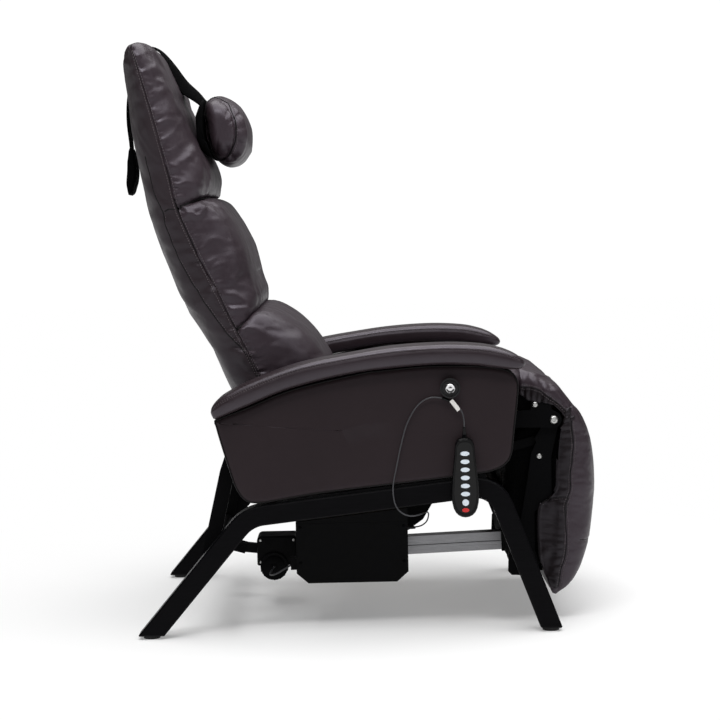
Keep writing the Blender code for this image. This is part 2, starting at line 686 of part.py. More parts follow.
def middle_pad(leather):
    front = [(-0.2300, 0.6350), (-0.2080, 0.6540), (-0.1970, 0.6620), (-0.1930, 0.6780),
             (-0.1965, 0.6960), (-0.2045, 0.7170), (-0.2100, 0.7400), (-0.2165, 0.7730),
             (-0.2300, 0.8070), (-0.2450, 0.8340), (-0.2640, 0.8640), (-0.2780, 0.8790),
             (-0.2950, 0.8850), (-0.3150, 0.8810), (-0.3300, 0.8755)]
    return back_pad("middle_pad", front, 0.8660, 0.6230, leather)


def lumbar_pad(leather):
    front = [(-0.1200, 0.4310), (-0.0700, 0.4390), (-0.0480, 0.4600), (-0.0440, 0.5000),
             (-0.0530, 0.5360), (-0.0650, 0.5570), (-0.0800, 0.5810), (-0.0960, 0.6010),
             (-0.1170, 0.6200), (-0.1390, 0.6380), (-0.1610, 0.6520), (-0.1830, 0.6580),
             (-0.2020, 0.6530), (-0.2230, 0.6370)]
    return back_pad("lumbar_pad", front, 0.6190, 0.4260, leather)


def back_frame(steel):
    """Side tubes behind the pads, cross tubes, hinge pins and the cranks that drive the leg rest."""
    crank = polar(BACK_PIVOT, BACK_CRANK)
    frame = cross_rod("back_frame", (-0.2080, 0.5000), -0.241, 0.241, 0.0100, steel, 12)
    for k, z in enumerate((0.8000, 1.0900)):
        at = (seam_x(z) - 0.0150, z)
        union(frame, cross_rod(f"join_back_tube_{k}", at, -0.241, 0.241, 0.0100, None, 12))
    spine = [(seam_x(z) - 0.0150, z) for z in (1.1000, 1.0310, 0.9410, 0.8600, 0.7740, 0.7030,
                                              0.6210, 0.5350)]
    path = [Vector(p) for p in spine + [(-0.1780, 0.4250), BACK_PIVOT]]
    arm = [Vector(BACK_PIVOT), Vector(crank)]
    for side in (RIGHT, LEFT):
        y0, y1 = span(side, *BACK_PLATE)
        union(frame, prism("join_back_plate_" + side_name(side), strip_outline(path, 0.0180), y0, y1))
        union(frame, prism("join_back_crank_" + side_name(side),
                           [Vector((-0.1300, 0.3450)), Vector((-0.1420, 0.3620)),
                            Vector((-0.1580, 0.3620)), Vector((-0.1690, 0.3480)),
                            Vector(crank) + Vector((-0.0090, 0.0040)),
                            Vector(crank) + Vector((-0.0040, -0.0090)),
                            Vector(crank) + Vector((0.0080, -0.0050))], y0, y1))
        p0, p1 = span(side, BACK_PLATE[1] - 0.002, SEAT_PLATE[1] + 0.0015)
        union(frame, cross_rod("join_hinge_pin_" + side_name(side), BACK_PIVOT, p0, p1, PIN_R))
        p0, p1 = span(side, LINK_PLATE[0] - 0.002, BACK_PLATE[0] + 0.002)
        union(frame, cross_rod("join_crank_pin_" + side_name(side), crank, p0, p1, LINK_PIN_R, None, 12))
    return frame


def back_shell(leather):
    """The rear cover: a tray whose hollow front takes the frame and the massage motors."""
    front = [(seam_x(z) - GAP * 3, z) for z in (1.1560, 1.1120, 1.0310, 0.9410, 0.8750, 0.8340,
                                               0.7740, 0.7030, 0.6210, 0.5350, 0.4600)]
    shell = prism("back_shell", front + [(-0.1800, 0.4080)] + REAR, -CUSHION_HALF + 0.004,
                  CUSHION_HALF - 0.004, leather)
    soften(shell, 0.006, 1, 50)
    hollow_front = [(x + 0.02, z) for x, z in front[1:]]
    hollow_rear = [(-0.2140, 0.4500), (-0.2580, 0.5260), (-0.3000, 0.6120), (-0.3460, 0.6900),
                   (-0.3820, 0.7700), (-0.4080, 0.8480), (-0.4230, 0.9280), (-0.4390, 1.0100),
                   (-0.4480, 1.0900), (-0.4490, 1.1120)]
    half = CUSHION_HALF - 0.012
    hollow = prism("cut_shell", hollow_front + hollow_rear, -half, half)
    notch = [(-0.1300, 0.3900), (-0.1300, 0.5000), (-0.2150, 0.5000), (-0.2050, 0.4300),
             (-0.1960, 0.3900)]
    cut(shell, hollow)
    for side in (RIGHT, LEFT):
        y0, y1 = span(side, BACK_PLATE[0] - 0.002, BACK_PLATE[1] + 0.002)
        cut(shell, prism("cut_shell_notch_" + side_name(side), notch, y0, y1))
    return shell


def massage_motor(name, z, y, metal):
    """A vibration motor lying in the shell behind the pads."""
    along = Vector((seam_x(z + 0.03) - seam_x(z - 0.03), 0.06)).normalized()
    rearward = Vector((-along.y, 0.0, along.x))
    start = Vector((seam_x(z), y, z)) + rearward * 0.004
    return rod(name, start, start + rearward * 0.026, 0.026, metal, 20)


# ---------------------------------------------------------------- pillow and counterweight
def head_pillow(leather):
    outline = curve_through(
        [(-0.3290, 1.0700), (-0.3180, 1.0950), (-0.2980, 1.1030), (-0.2610, 1.0950),
         (-0.2340, 1.0720), (-0.2180, 1.0300), (-0.2220, 0.9950), (-0.2400, 0.9700),
         (-0.2620, 0.9590), (-0.2760, 0.9690)], 2, closed=True)
    return cushion("head_pillow", outline, -PILLOW_HALF, PILLOW_HALF, 0.030, leather, 0.72)


def strap_front(webbing):
    path = [Vector(p) for p in ((-0.4340, 1.2130), (-0.4160, 1.2115), (-0.3080, 1.1100))]
    outline = strip_outline(path, 0.0060)
    return prism("pillow_strap_front", outline, -STRAP_HALF, STRAP_HALF, webbing)


def strap_rear(webbing):
    path = [Vector(p) for p in ((-0.4345, 1.2125), (-0.4560, 1.2050), (-0.4720, 1.1800),
                                (-0.4775, 1.1350), (-0.4790, 1.0600), (-0.4776, 1.0020))]
    outline = strip_outline(path, 0.0020)
    return prism("pillow_strap_rear", outline, -STRAP_HALF, STRAP_HALF, webbing)


def counterweight(fabric):
    outline = curve_through(
        [(-0.4815, 0.9960), (-0.4740, 0.9960), (-0.4695, 0.9750), (-0.4680, 0.9400),
         (-0.4720, 0.9120), (-0.4810, 0.9010), (-0.4870, 0.9250), (-0.4855, 0.9600)], 2, closed=True)
    return cushion("pillow_counterweight", outline, -STRAP_HALF - 0.008, STRAP_HALF + 0.008, 0.010,
                   fabric, 0.80)


# ---------------------------------------------------------------- leg rest
def legrest_frame(steel):
    """Two bent side plates with cross tubes, hinge pins and the cranks that raise it."""
    crank = polar(LEG_PIVOT, LEG_CRANK)
    frame = cross_rod("legrest_frame", (0.3480, 0.1170), -0.241, 0.241, 0.0120, steel, 12)
    union(frame, cross_rod("join_leg_tube", (0.3850, 0.3050), -0.241, 0.241, 0.0090, None, 12))
    sheet = (arc_points(LEG_PIVOT, 0.0130, 150, -20, 6)
             + [(0.3970, 0.3420), (0.3970, 0.2640), (0.3610, 0.2280), (0.3610, 0.1480), (0.3700, 0.1200),
                (0.3600, 0.0960), (0.3120, 0.0980), (0.3050, 0.1060), (0.3070, 0.1450), (0.3240, 0.1700),
                (0.3360, 0.2300), (0.3480, 0.3000), (0.3560, 0.3500)])
    for side in (RIGHT, LEFT):
        y0, y1 = span(side, *BACK_PLATE)
        union(frame, prism("join_leg_plate_" + side_name(side), sheet, y0, y1))
        ear = [Vector(LEG_PIVOT) + Vector((-0.0090, 0.0090)), Vector(crank) + Vector((-0.0090, 0.0030)),
               Vector(crank) + Vector((-0.0040, -0.0090)), (0.3900, 0.3500), (0.4060, 0.4050)]
        union(frame, prism("join_leg_ear_" + side_name(side), ear, y0, y1))
        p0, p1 = span(side, BACK_PLATE[1] - 0.002, SEAT_PLATE[1] + 0.0015)
        union(frame, cross_rod("join_leg_pin_" + side_name(side), LEG_PIVOT, p0, p1, PIN_R))
        p0, p1 = span(side, LINK_PLATE[0] - 0.002, BACK_PLATE[0] + 0.002)
        union(frame, cross_rod("join_ear_pin_" + side_name(side), crank, p0, p1, LINK_PIN_R, None, 12))
    return frame


def calf_pad(leather):
    front = curve_through(
        [(0.4400, 0.4490), (0.4560, 0.4470), (0.4710, 0.4160), (0.4820, 0.3700), (0.4880, 0.3200),
         (0.4900, 0.2630)], 2)
    inner = [(0.4000, 0.2630), (0.4000, 0.3400), (0.4230, 0.3960), (0.4270, 0.4300)]
    return cushion("calf_pad", front + [Vector(p) for p in inner], -CUSHION_HALF, CUSHION_HALF, 0.014,
                   leather, 0.92)


def foot_pad(leather):
    front = curve_through(
        [(0.4900, 0.2600), (0.4870, 0.2050), (0.4780, 0.1480), (0.4620, 0.1020), (0.4420, 0.0730),
         (0.4150, 0.0570), (0.4000, 0.0640), (0.3880, 0.0950)], 2)
    inner = [(0.3640, 0.1500), (0.3640, 0.2250), (0.3960, 0.2600)]
    return cushion("foot_pad", front + [Vector(p) for p in inner], -CUSHION_HALF, CUSHION_HALF, 0.014,
                   leather, 0.92)


# ---------------------------------------------------------------- push rods
def push_rod(side, steel):
    """The rod from the back's crank to the leg rest's crank; its front eye is roomy."""
    rear, front = Vector(polar(BACK_PIVOT, BACK_CRANK)), Vector(polar(LEG_PIVOT, LEG_CRANK))
    along = (front - rear).normalized()
    heading = math.degrees(math.atan2(along.y, along.x))
    y0, y1 = span(side, *LINK_PLATE)
    outline = (arc_points(rear, 0.0090, heading + 60, heading + 300, 5)
               + arc_points(front, 0.0120, heading - 130, heading + 130, 7))
    rod_plate = prism("push_rod_" + side_name(side), outline, y0, y1, steel)
    rear_eye = cross_rod("cut_rear_eye_" + side_name(side), rear, y0 - 0.01, y1 + 0.01,
                         LINK_PIN_R + 0.0006, None, 12)
    front_eye = cross_rod("cut_front_eye_" + side_name(side), front, y0 - 0.01, y1 + 0.01,
                          LINK_EYE_R, None, 20)
    return cut(rod_plate, rear_eye, front_eye)


# ---------------------------------------------------------------- hand control
def remote_outline(grow=0.0):
    """The hand control's front view: narrow at the top, widest below the middle."""
    low, high = REMOTE_Z
    half = [(0.0000, low), (0.0140, low + 0.0045), (0.0235, low + 0.0180), (0.0275, low + 0.0450),
            (0.0250, low + 0.0850), (0.0205, low + 0.1250), (0.0185, low + 0.1480),
            (0.0120, low + 0.1580), (0.0000, high)]
    right = [Vector((x + (grow if x else 0), z)) for x, z in half]
    left = [Vector((-p.x, p.y)) for p in right[-2:0:-1]]
    return [Vector((REMOTE_X + p.x, p.y)) for p in curve_through(right + left, 2, closed=True)]


def oval(cx, cz, half_wide, half_high, sides=16):
    made = []
    for k in range(sides):
        a = math.tau * k / sides
        made.append((cx + half_wide * math.cos(a), cz + half_high * math.sin(a)))
    return made


def button_table():
    """(name, centre height, half width, half height, is the red one) of each button."""
    rows = [(name, OVAL_TOP_Z - k * OVAL_STEP, 0.0090, 0.0045, False)
            for k, name in enumerate(OVAL_BUTTONS)]
    rows.append(("light", 0.2708, 0.0066, 0.0066, False))
    rows.append(("power", 0.2556, 0.0072, 0.0042, True))
    return rows


def handset(case_plastic, face_plastic, white, red):
    """The case, the glossy face let into it and the buttons that travel in the face's holes."""
    y0, y1 = REMOTE_Y
    case = cushion("handset_case", remote_outline(), y0 + 0.0004, y1, 0.005, case_plastic, 0.95)
    well_floor = y0 + FACE_THICK + BUTTON_TRAVEL + 0.0024
    well = [Vector((REMOTE_X + (p.x - REMOTE_X) * 0.84, 0.320 + (p.y - 0.320) * 0.91))
            for p in remote_outline()]
    cut(case, prism("cut_face_well", well, y0 - 0.01, well_floor))
    plate = [Vector((REMOTE_X + (p.x - REMOTE_X) * 0.82, 0.320 + (p.y - 0.320) * 0.90))
             for p in remote_outline()]
    face = prism("handset_face", plate, y0, y0 + FACE_THICK, face_plastic)
    rim = [Vector((REMOTE_X + (p.x - REMOTE_X) * 0.75, 0.320 + (p.y - 0.320) * 0.88))
           for p in remote_outline()]
    skirt = prism("join_face_skirt", plate, y0 + FACE_THICK - 0.001, well_floor - GAP)
    cut(skirt, prism("cut_face_skirt", rim, y0 + FACE_THICK, well_floor + 0.01))
    union(face, skirt)
    pieces = [case, face]
    for name, z, wide, high, is_red in button_table():
        hole = prism("cut_hole_" + name, oval(REMOTE_X, z, wide + GAP * 1.4, high + GAP * 1.4),
                     y0 - 0.01, y0 + FACE_THICK + 0.001)
        cut(face, hole)
        top = y0 - 0.0010
        button = prism("button_" + name, oval(REMOTE_X, z, wide, high), top,
                       well_floor - BUTTON_TRAVEL - 0.0004, red if is_red else white)
        pieces.append(button)
    return pieces


# ---------------------------------------------------------------- the whole chair
def build():
    for obj in list(bpy.data.objects):
        bpy.data.objects.remove(obj)
    leather = material("leather", (0.040, 0.030, 0.030), 0.42)
    wood = material("black_wood", (0.012, 0.011, 0.013), 0.35)
    steel = material("black_steel", (0.020, 0.020, 0.022), 0.45, 0.6)
    case_metal = material("box_metal", (0.030, 0.030, 0.031), 0.55, 0.4)
    aluminium = material("aluminium", (0.55, 0.54, 0.55), 0.32, 1.0)
    rubber = material("rubber", (0.015, 0.015, 0.016), 0.70)
    black_plastic = material("black_plastic", (0.020, 0.020, 0.022), 0.45)
    gloss_black = material("gloss_black", (0.008, 0.008, 0.010), 0.08)
    grey_plastic = material("grey_plastic", (0.045, 0.045, 0.050), 0.50)
    white = material("white_plastic", (0.80, 0.85, 0.90), 0.35)
    red = material("red_plastic", (0.75, 0.03, 0.03), 0.35)
    silver = material("silver", (0.75, 0.75, 0.76), 0.25, 1.0)
    board_green = material("circuit_board", (0.02, 0.12, 0.05), 0.50)
    webbing = material("webbing", (0.010, 0.010, 0.011), 0.85)
    board_wood = material("plywood", (0.45, 0.33, 0.20), 0.65)

    for side in (RIGHT, LEFT):
        side_frame(side, wood)
        foot_glide(side, 0.3840, "front", rubber)
        foot_glide(side, -0.4255, "rear", rubber)
        arm_panel(side, leather)
        arm_pad(side, leather)
        pivot_plate(side, steel)
    front_cross_tube(steel)
    rear_cross_frame(steel)
    control_box(case_metal)
    control_box_lid(case_metal)
    control_board(board_green)
    power_inlet(black_plastic)
    actuator_motor(black_plastic)
    actuator_rail(aluminium)
    rail_end_cap(black_plastic)
    remote_hook(rubber)
    remote_hook_cap(silver)
    cord_tube("remote_cord", REMOTE_ROUTE, CORD_R, rubber, 80)
    cord_tube("motor_cable", MOTOR_ROUTE, 0.0020, rubber, 26)

    body("seat_axis", (SEAT_PIVOT[0], 0, SEAT_PIVOT[1]), seat_frame(steel), seat_board(board_wood),
         seat_cushion(leather), seat_vibration_motor(case_metal), knee_roll(leather),
         drive_lever(steel))
    pin = carriage_at_rest()[0]
    body("carriage_axis", (pin.x, 0, pin.y), actuator_carriage(steel))
    body("back_axis", (BACK_PIVOT[0], 0, BACK_PIVOT[1]), back_frame(steel), back_shell(leather),
         head_pad(leather), middle_pad(leather), lumbar_pad(leather),
         massage_motor("upper_massage_motor", 0.9800, 0.0, case_metal),
         massage_motor("lumbar_massage_motor", 0.6000, 0.0, case_metal))
    body("pillow_axis", (-0.272, 0, 1.030), head_pillow(leather), strap_front(webbing))
    body("counterweight_axis", (-0.478, 0, 0.970), counterweight(webbing), strap_rear(webbing))
    body("legrest_axis", (LEG_PIVOT[0], 0, LEG_PIVOT[1]), legrest_frame(steel), calf_pad(leather),
         foot_pad(leather))
    rear_eye = polar(BACK_PIVOT, BACK_CRANK)
    body("push_rod_axis", (rear_eye[0], 0, rear_eye[1]), push_rod(RIGHT, steel), push_rod(LEFT, steel))
    body("handset_axis", (REMOTE_X, -0.3630, REMOTE_HINGE_Z),
         cord_tube("handset_cord", HANDSET_ROUTE, CORD_R, rubber, 10),
         *handset(grey_plastic, gloss_black, white, red))


build()
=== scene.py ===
"""Looks of the massage chair: leather pads, stitched seams, lacquered wood, cords and small hardware,
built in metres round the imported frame. +X front, +Y the sitter's left, +Z up."""

import math

import bmesh
import bpy
import numpy as np
from mathutils import Matrix, Vector, noise


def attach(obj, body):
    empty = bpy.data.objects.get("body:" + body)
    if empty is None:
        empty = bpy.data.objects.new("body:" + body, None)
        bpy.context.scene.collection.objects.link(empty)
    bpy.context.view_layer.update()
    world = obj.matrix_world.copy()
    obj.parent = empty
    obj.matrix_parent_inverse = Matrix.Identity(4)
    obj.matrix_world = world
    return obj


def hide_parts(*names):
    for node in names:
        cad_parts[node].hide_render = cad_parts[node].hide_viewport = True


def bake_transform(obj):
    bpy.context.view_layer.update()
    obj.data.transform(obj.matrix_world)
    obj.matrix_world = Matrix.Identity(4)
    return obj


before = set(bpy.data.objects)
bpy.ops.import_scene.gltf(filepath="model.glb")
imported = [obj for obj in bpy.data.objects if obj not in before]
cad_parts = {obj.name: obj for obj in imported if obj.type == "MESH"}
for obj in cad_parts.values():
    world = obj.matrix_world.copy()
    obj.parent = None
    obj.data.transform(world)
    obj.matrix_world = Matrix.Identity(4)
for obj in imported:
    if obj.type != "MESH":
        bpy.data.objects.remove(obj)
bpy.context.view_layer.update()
RIGHT, LEFT = -1, 1

# ---------------------------------------------------------------- camera
camera_data = bpy.data.cameras.new("camera")
camera_data.sensor_width = 36.0
camera_data.lens = 93.4
camera_data.clip_end = 50.0
camera = bpy.data.objects.new("camera", camera_data)
camera.location = (0.008, -4.06, 0.848)
turn = Matrix.Rotation(math.radians(90 - 4.468), 3, "X") @ Matrix.Rotation(math.radians(-1.2), 3, "Z")
camera.rotation_euler = turn.to_euler()
bpy.context.scene.collection.objects.link(camera)
bpy.context.scene.camera = camera


# ---------------------------------------------------------------- small tools
def through(points, count, closed=False):
    """Evenly spaced points on a smooth curve through the given points (any dimension)."""
    pts = np.array(points, float)
    n = len(pts)
    dense = []
    for i in range(n if closed else n - 1):
        if closed:
            a, b, c, d = (pts[(i + k) % n] for k in (-1, 0, 1, 2))
        else:
            b, c = pts[i], pts[i + 1]
            a = pts[i - 1] if i else 2 * b - c
            d = pts[i + 2] if i + 2 < n else 2 * c - b
        t = np.linspace(0, 1, 24, endpoint=False)[:, None]
        dense.append(0.5 * (2 * b + (c - a) * t + (2 * a - 5 * b + 4 * c - d) * t ** 2
                            + (3 * b - 3 * c + d - a) * t ** 3))
    dense = np.vstack(dense + [pts[:1] if closed else pts[-1:]])
    run = np.r_[0, np.cumsum(np.linalg.norm(np.diff(dense, axis=0), axis=1))]
    want = np.linspace(0, run[-1], count, endpoint=not closed)
    return np.stack([np.interp(want, run, dense[:, k]) for k in range(dense.shape[1])], 1)


def ramp(x, low, high):
    t = np.clip((np.asarray(x, float) - low) / (high - low), 0, 1)
    return t * t * (3 - 2 * t)


def field(P, scale, seed=0.0):
    """Smooth noise at points, scale in cycles per metre along each axis."""
    s = np.broadcast_to(np.array(scale, float), (3,))
    flat = (P.reshape(-1, 3) * s + seed).tolist()
    return np.array([noise.noise(Vector(q)) for q in flat]).reshape(P.shape[:-1])


def new_object(name, mesh, mat, body=None, replaces=()):
    obj = bpy.data.objects.new(name, mesh)
    bpy.context.scene.collection.objects.link(obj)
    if mat:
        mesh.materials.append(mat)
    if body:
        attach(obj, body)
    if replaces:
        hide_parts(*replaces)
    return obj


def mesh_of(name, verts, faces, smooth=True):
    mesh = bpy.data.meshes.new(name)
    mesh.from_pydata([tuple(map(float, v)) for v in verts], [], faces)
    bm = bmesh.new()
    bm.from_mesh(mesh)
    bmesh.ops.recalc_face_normals(bm, faces=bm.faces)
    bm.to_mesh(mesh)
    bm.free()
    if smooth:
        mesh.shade_smooth()
    return mesh


class Skin:
    """A surface given by a grid of points; columns may close on themselves."""

    def __init__(self, points, closed=True):
        self.points = np.array(points, float)
        self.closed = closed
        self.measure()

    def measure(self):
        P = self.points
        if self.closed:
            across = np.roll(P, -1, 1) - np.roll(P, 1, 1)
        else:
            across = np.gradient(P, axis=1)
        along = np.gradient(P, axis=0)
        N = np.cross(along, across)
        N /= np.maximum(np.linalg.norm(N, axis=2, keepdims=True), 1e-12)
        middle = P.reshape(-1, 3).mean(0)
        if ((P - middle) * N).sum() < 0:
            N = -N
        self.normals = N

    def raise_by(self, height):
        self.points = self.points + self.normals * height[..., None]
        self.measure()

    def at(self, row, col):
        R, C = self.points.shape[:2]
        row = min(max(row, 0.0), R - 1.0)
        r0 = min(int(row), R - 2)
        fr = row - r0
        if self.closed:
            c0 = int(math.floor(col)) % C
            c1 = (c0 + 1) % C
            fc = col - math.floor(col)
        else:
            col = min(max(col, 0.0), C - 1.0)
            c0 = min(int(col), C - 2)
            c1, fc = c0 + 1, col - c0
        out = []
        for G in (self.points, self.normals):
            out.append((1 - fr) * ((1 - fc) * G[r0, c0] + fc * G[r0, c1])
                       + fr * ((1 - fc) * G[r0 + 1, c0] + fc * G[r0 + 1, c1]))
        return out[0], out[1] / max(np.linalg.norm(out[1]), 1e-9)

    def mesh(self, name):
        R, C = self.points.shape[:2]
        faces = []
        for r in range(R - 1):
            for c in range(C if self.closed else C - 1):
                d = (c + 1) % C
                faces.append((r * C + c, r * C + d, (r + 1) * C + d, (r + 1) * C + c))
        if self.closed:
            faces.append(tuple(range(C)))
            faces.append(tuple((R - 1) * C + c for c in range(C)))
        return mesh_of(name, self.points.reshape(-1, 3), faces)


def tube_rings(path, radius, sides, verts, faces, up=None):
    """Adds a tube along the path to a list of vertices and faces; radius may vary along it."""
    path = np.array(path, float)
    radius = np.broadcast_to(np.array(radius, float), (len(path),))
    tangent = np.gradient(path, axis=0)
    tangent /= np.linalg.norm(tangent, axis=1, keepdims=True)
    side = np.array(up if up is not None else (0.0, 0.0, 1.0), float)
    start = len(verts)
    for k, (p, t, r) in enumerate(zip(path, tangent, radius)):
        if k == 0 and abs(t @ side) > 0.95 * np.linalg.norm(side):
            side = np.array((1.0, 0.0, 0.0))
        side = side - t * (side @ t)
        side /= max(np.linalg.norm(side), 1e-9)
        other = np.cross(t, side)
        for i in range(sides):
            a = math.tau * i / sides
            verts.append(p + (side * math.cos(a) + other * math.sin(a)) * r)
    for k in range(len(path) - 1):
        for i in range(sides):
            j = (i + 1) % sides
            a, b = start + k * sides, start + (k + 1) * sides
            faces.append((a + i, a + j, b + j, b + i))
    faces.append(tuple(start + i for i in range(sides)))
    faces.append(tuple(start + (len(path) - 1) * sides + i for i in range(sides)))


def tube(name, path, radius, mat, body, sides=8, replaces=(), closed=False):
    verts, faces = [], []
    path = np.array(path, float)
    if closed:
        path = np.vstack([path, path[:1]])
    tube_rings(path, radius, sides, verts, faces)
    return new_object(name, mesh_of(name, verts, faces), mat, body, replaces)


def turned(name, profile, at, axis, mat, body, sides=32, replaces=()):
    """A solid of revolution: profile is (radius, height) pairs, turned about axis at a point."""
    quat = Vector(axis).to_track_quat("Z", "Y").to_matrix().to_4x4()
    place = Matrix.Translation(at) @ quat
    verts, faces = [], []
    for r, h in profile:
        for i in range(sides):
            a = math.tau * i / sides
            verts.append(place @ Vector((max(r, 1e-5) * math.cos(a), max(r, 1e-5) * math.sin(a), h)))
    for k in range(len(profile) - 1):
        for i in range(sides):
            j = (i + 1) % sides
            faces.append((k * sides + i, k * sides + j, (k + 1) * sides + j, (k + 1) * sides + i))
    faces.append(tuple(range(sides)))
    faces.append(tuple((len(profile) - 1) * sides + i for i in range(sides)))
    obj = new_object(name, mesh_of(name, verts, faces), mat, body, replaces)
    obj.data.set_sharp_from_angle(angle=math.radians(40))
    return obj


def through_straight(points, count):
    """Evenly spaced points along the straight stretches between the given points."""
    pts = np.array(points, float)
    run = np.r_[0, np.cumsum(np.linalg.norm(np.diff(pts, axis=0), axis=1))]
    want = np.linspace(0, run[-1], count)
    return np.stack([np.interp(want, run, pts[:, k]) for k in range(pts.shape[1])], 1)


def line_on(skin, coords, count):
    """Points and normals along a path of (row, column) coordinates on a skin."""
    coarse = through(coords, max(count * 4, 60))
    found = [skin.at(r, c) for r, c in coarse]
    P = np.array([f[0] for f in found])
    N = np.array([f[1] for f in found])
    run = np.r_[0, np.cumsum(np.linalg.norm(np.diff(P, axis=0), axis=1))]
    want = np.linspace(0, run[-1], count)
    P = np.stack([np.interp(want, run, P[:, k]) for k in range(3)], 1)
    N = np.stack([np.interp(want, run, N[:, k]) for k in range(3)], 1)
    return P, N / np.maximum(np.linalg.norm(N, axis=1, keepdims=True), 1e-9)


def stitches(name, lines, mat, body, pitch=0.0058, radius=0.00055, lift=0.0003):
    """Rows of thread stitches along (points, normals) lines."""
    verts, faces = [], []
    for P, N in lines:
        run = np.r_[0, np.cumsum(np.linalg.norm(np.diff(P, axis=0), axis=1))]
        for k in range(int(run[-1] / pitch)):
            where = (np.array([0.1, 0.3, 0.7, 0.9]) * 0.78 + k + 0.1) * pitch
            path = np.stack([np.interp(where, run, P[:, i]) for i in range(3)], 1)
            up = np.stack([np.interp(where, run, N[:, i]) for i in range(3)], 1)
            dip = np.array([-0.6, 1.0, 1.0, -0.6]) * lift
            tube_rings(path + up * dip[:, None], radius * np.array([0.6, 1, 1, 0.6]), 5, verts, faces,
                       up[0])
    return new_object(name, mesh_of(name, verts, faces), mat, body)


# ---------------------------------------------------------------- materials
class Shader:
    """A Principled material with a few helpers for noise-driven colour, roughness and bump."""

    def __init__(self, name, colour, roughness, metallic=0.0, **sockets):
        self.mat = bpy.data.materials.new(name)
        self.mat.use_nodes = True
        self.nodes = self.mat.node_tree.nodes
        self.links = self.mat.node_tree.links
        self.bsdf = self.nodes["Principled BSDF"]
        self.bsdf.inputs["Base Color"].default_value = (*colour, 1)
        self.bsdf.inputs["Roughness"].default_value = roughness
        self.bsdf.inputs["Metallic"].default_value = metallic
        for key, value in sockets.items():
            self.bsdf.inputs[key.replace("_", " ")].default_value = value
        self.coords = self.nodes.new("ShaderNodeTexCoord").outputs["Object"]
        self.normal = None

    def scaled(self, scale):
        node = self.nodes.new("ShaderNodeMapping")
        node.inputs["Scale"].default_value = scale
        self.links.new(self.coords, node.inputs["Vector"])
        return node.outputs["Vector"]

    def noise(self, scale, detail=3.0, rough=0.55, stretch=(1, 1, 1), distortion=0.0):
        node = self.nodes.new("ShaderNodeTexNoise")
        node.inputs["Scale"].default_value = scale
        node.inputs["Detail"].default_value = detail
        node.inputs["Roughness"].default_value = rough
        node.inputs["Distortion"].default_value = distortion
        self.links.new(self.scaled(stretch), node.inputs["Vector"])
        return node.outputs["Fac"]

    def cells(self, scale, stretch=(1, 1, 1), feature="DISTANCE_TO_EDGE"):
        node = self.nodes.new("ShaderNodeTexVoronoi")
        node.feature = feature
        node.inputs["Scale"].default_value = scale
        self.links.new(self.scaled(stretch), node.inputs["Vector"])
        return node.outputs["Distance"]

    def wave(self, scale, direction="X", distortion=0.0):
        node = self.nodes.new("ShaderNodeTexWave")
        node.bands_direction = direction
        node.inputs["Scale"].default_value = scale
        node.inputs["Distortion"].default_value = distortion
        self.links.new(self.coords, node.inputs["Vector"])
        return node.outputs["Fac"]

    def range(self, value, a, b, low, high):
        node = self.nodes.new("ShaderNodeMapRange")
        for key, x in (("From Min", a), ("From Max", b), ("To Min", low), ("To Max", high)):
            node.inputs[key].default_value = x
        self.links.new(value, node.inputs["Value"])
        return node.outputs["Result"]

    def math(self, operation, a, b):
        node = self.nodes.new("ShaderNodeMath")
        node.operation = operation
        for k, x in enumerate((a, b)):
            if isinstance(x, (int, float)):
                node.inputs[k].default_value = x
            else:
                self.links.new(x, node.inputs[k])
        return node.outputs["Value"]

    def colour(self, value, stops):
        node = self.nodes.new("ShaderNodeValToRGB")
        ramp_ = node.color_ramp
        while len(ramp_.elements) < len(stops):
            ramp_.elements.new(0.5)
        for element, (where, c) in zip(ramp_.elements, stops):
            element.position = where
            element.color = (*c, 1)
        self.links.new(value, node.inputs["Fac"])
        self.links.new(node.outputs["Color"], self.bsdf.inputs["Base Color"])

    def rough(self, value):
        self.links.new(value, self.bsdf.inputs["Roughness"])

    def bump(self, height, strength, distance):
        node = self.nodes.new("ShaderNodeBump")
        node.inputs["Strength"].default_value = strength
        node.inputs["Distance"].default_value = distance
        self.links.new(height, node.inputs["Height"])
        if self.normal is not None:
            self.links.new(self.normal, node.inputs["Normal"])
        self.normal = node.outputs["Normal"]
        self.links.new(self.normal, self.bsdf.inputs["Normal"])


def leather_material(name, dark, light, roughness, crease=0.35, shine=0.5):
    s = Shader(name, dark, roughness, Specular_IOR_Level=shine, Specular_Tint=(0.93, 0.88, 1.0, 1.0))
    s.colour(s.noise(6.0, 5.0), [(0.3, dark), (0.72, light)])
    s.rough(s.range(s.noise(38.0, 4.0), 0.3, 0.7, roughness - 0.05, roughness + 0.07))
    s.bump(s.noise(16.0, 3.0, 0.5, distortion=0.6), crease, 0.0022)
    s.bump(s.cells(620.0), 0.2, 0.0004)
    s.bump(s.noise(1500.0, 2.0), 0.1, 0.0002)
    return s.mat


leather = leather_material("leather_brown", (0.0215, 0.0142, 0.0178), (0.03, 0.0205, 0.0254), 0.41, 0.3,
                           0.46)
shell_leather = leather_material("leather_shell", (0.017, 0.0118, 0.0135), (0.0225, 0.016, 0.0182), 0.44,
                                 0.3, 0.32)
# a near-black copy of the leather: painted shade for the leg rest's inner gusset and the knee's under hem,
# which are the same leather as the pads
gusset_painted_shade_leather = leather_material("leather_gusset_painted_shade", (0.0048, 0.0032, 0.0034), (0.008, 0.0056, 0.006),
                                  0.38, 0.3, 0.3)
# the arm panels' leather is darker than the pads: partly a different leatherette, partly painted shade for
# the low, less-lit panels
smooth_leather = leather_material("leather_panel", (0.0178, 0.0118, 0.0126), (0.0205, 0.0137, 0.0148),
                                  0.47, 0.06, 0.2)
pad_leather = leather_material("leather_arm_pad", (0.018, 0.0118, 0.0138), (0.023, 0.0154, 0.0178), 0.34,
                               0.1, 0.55)


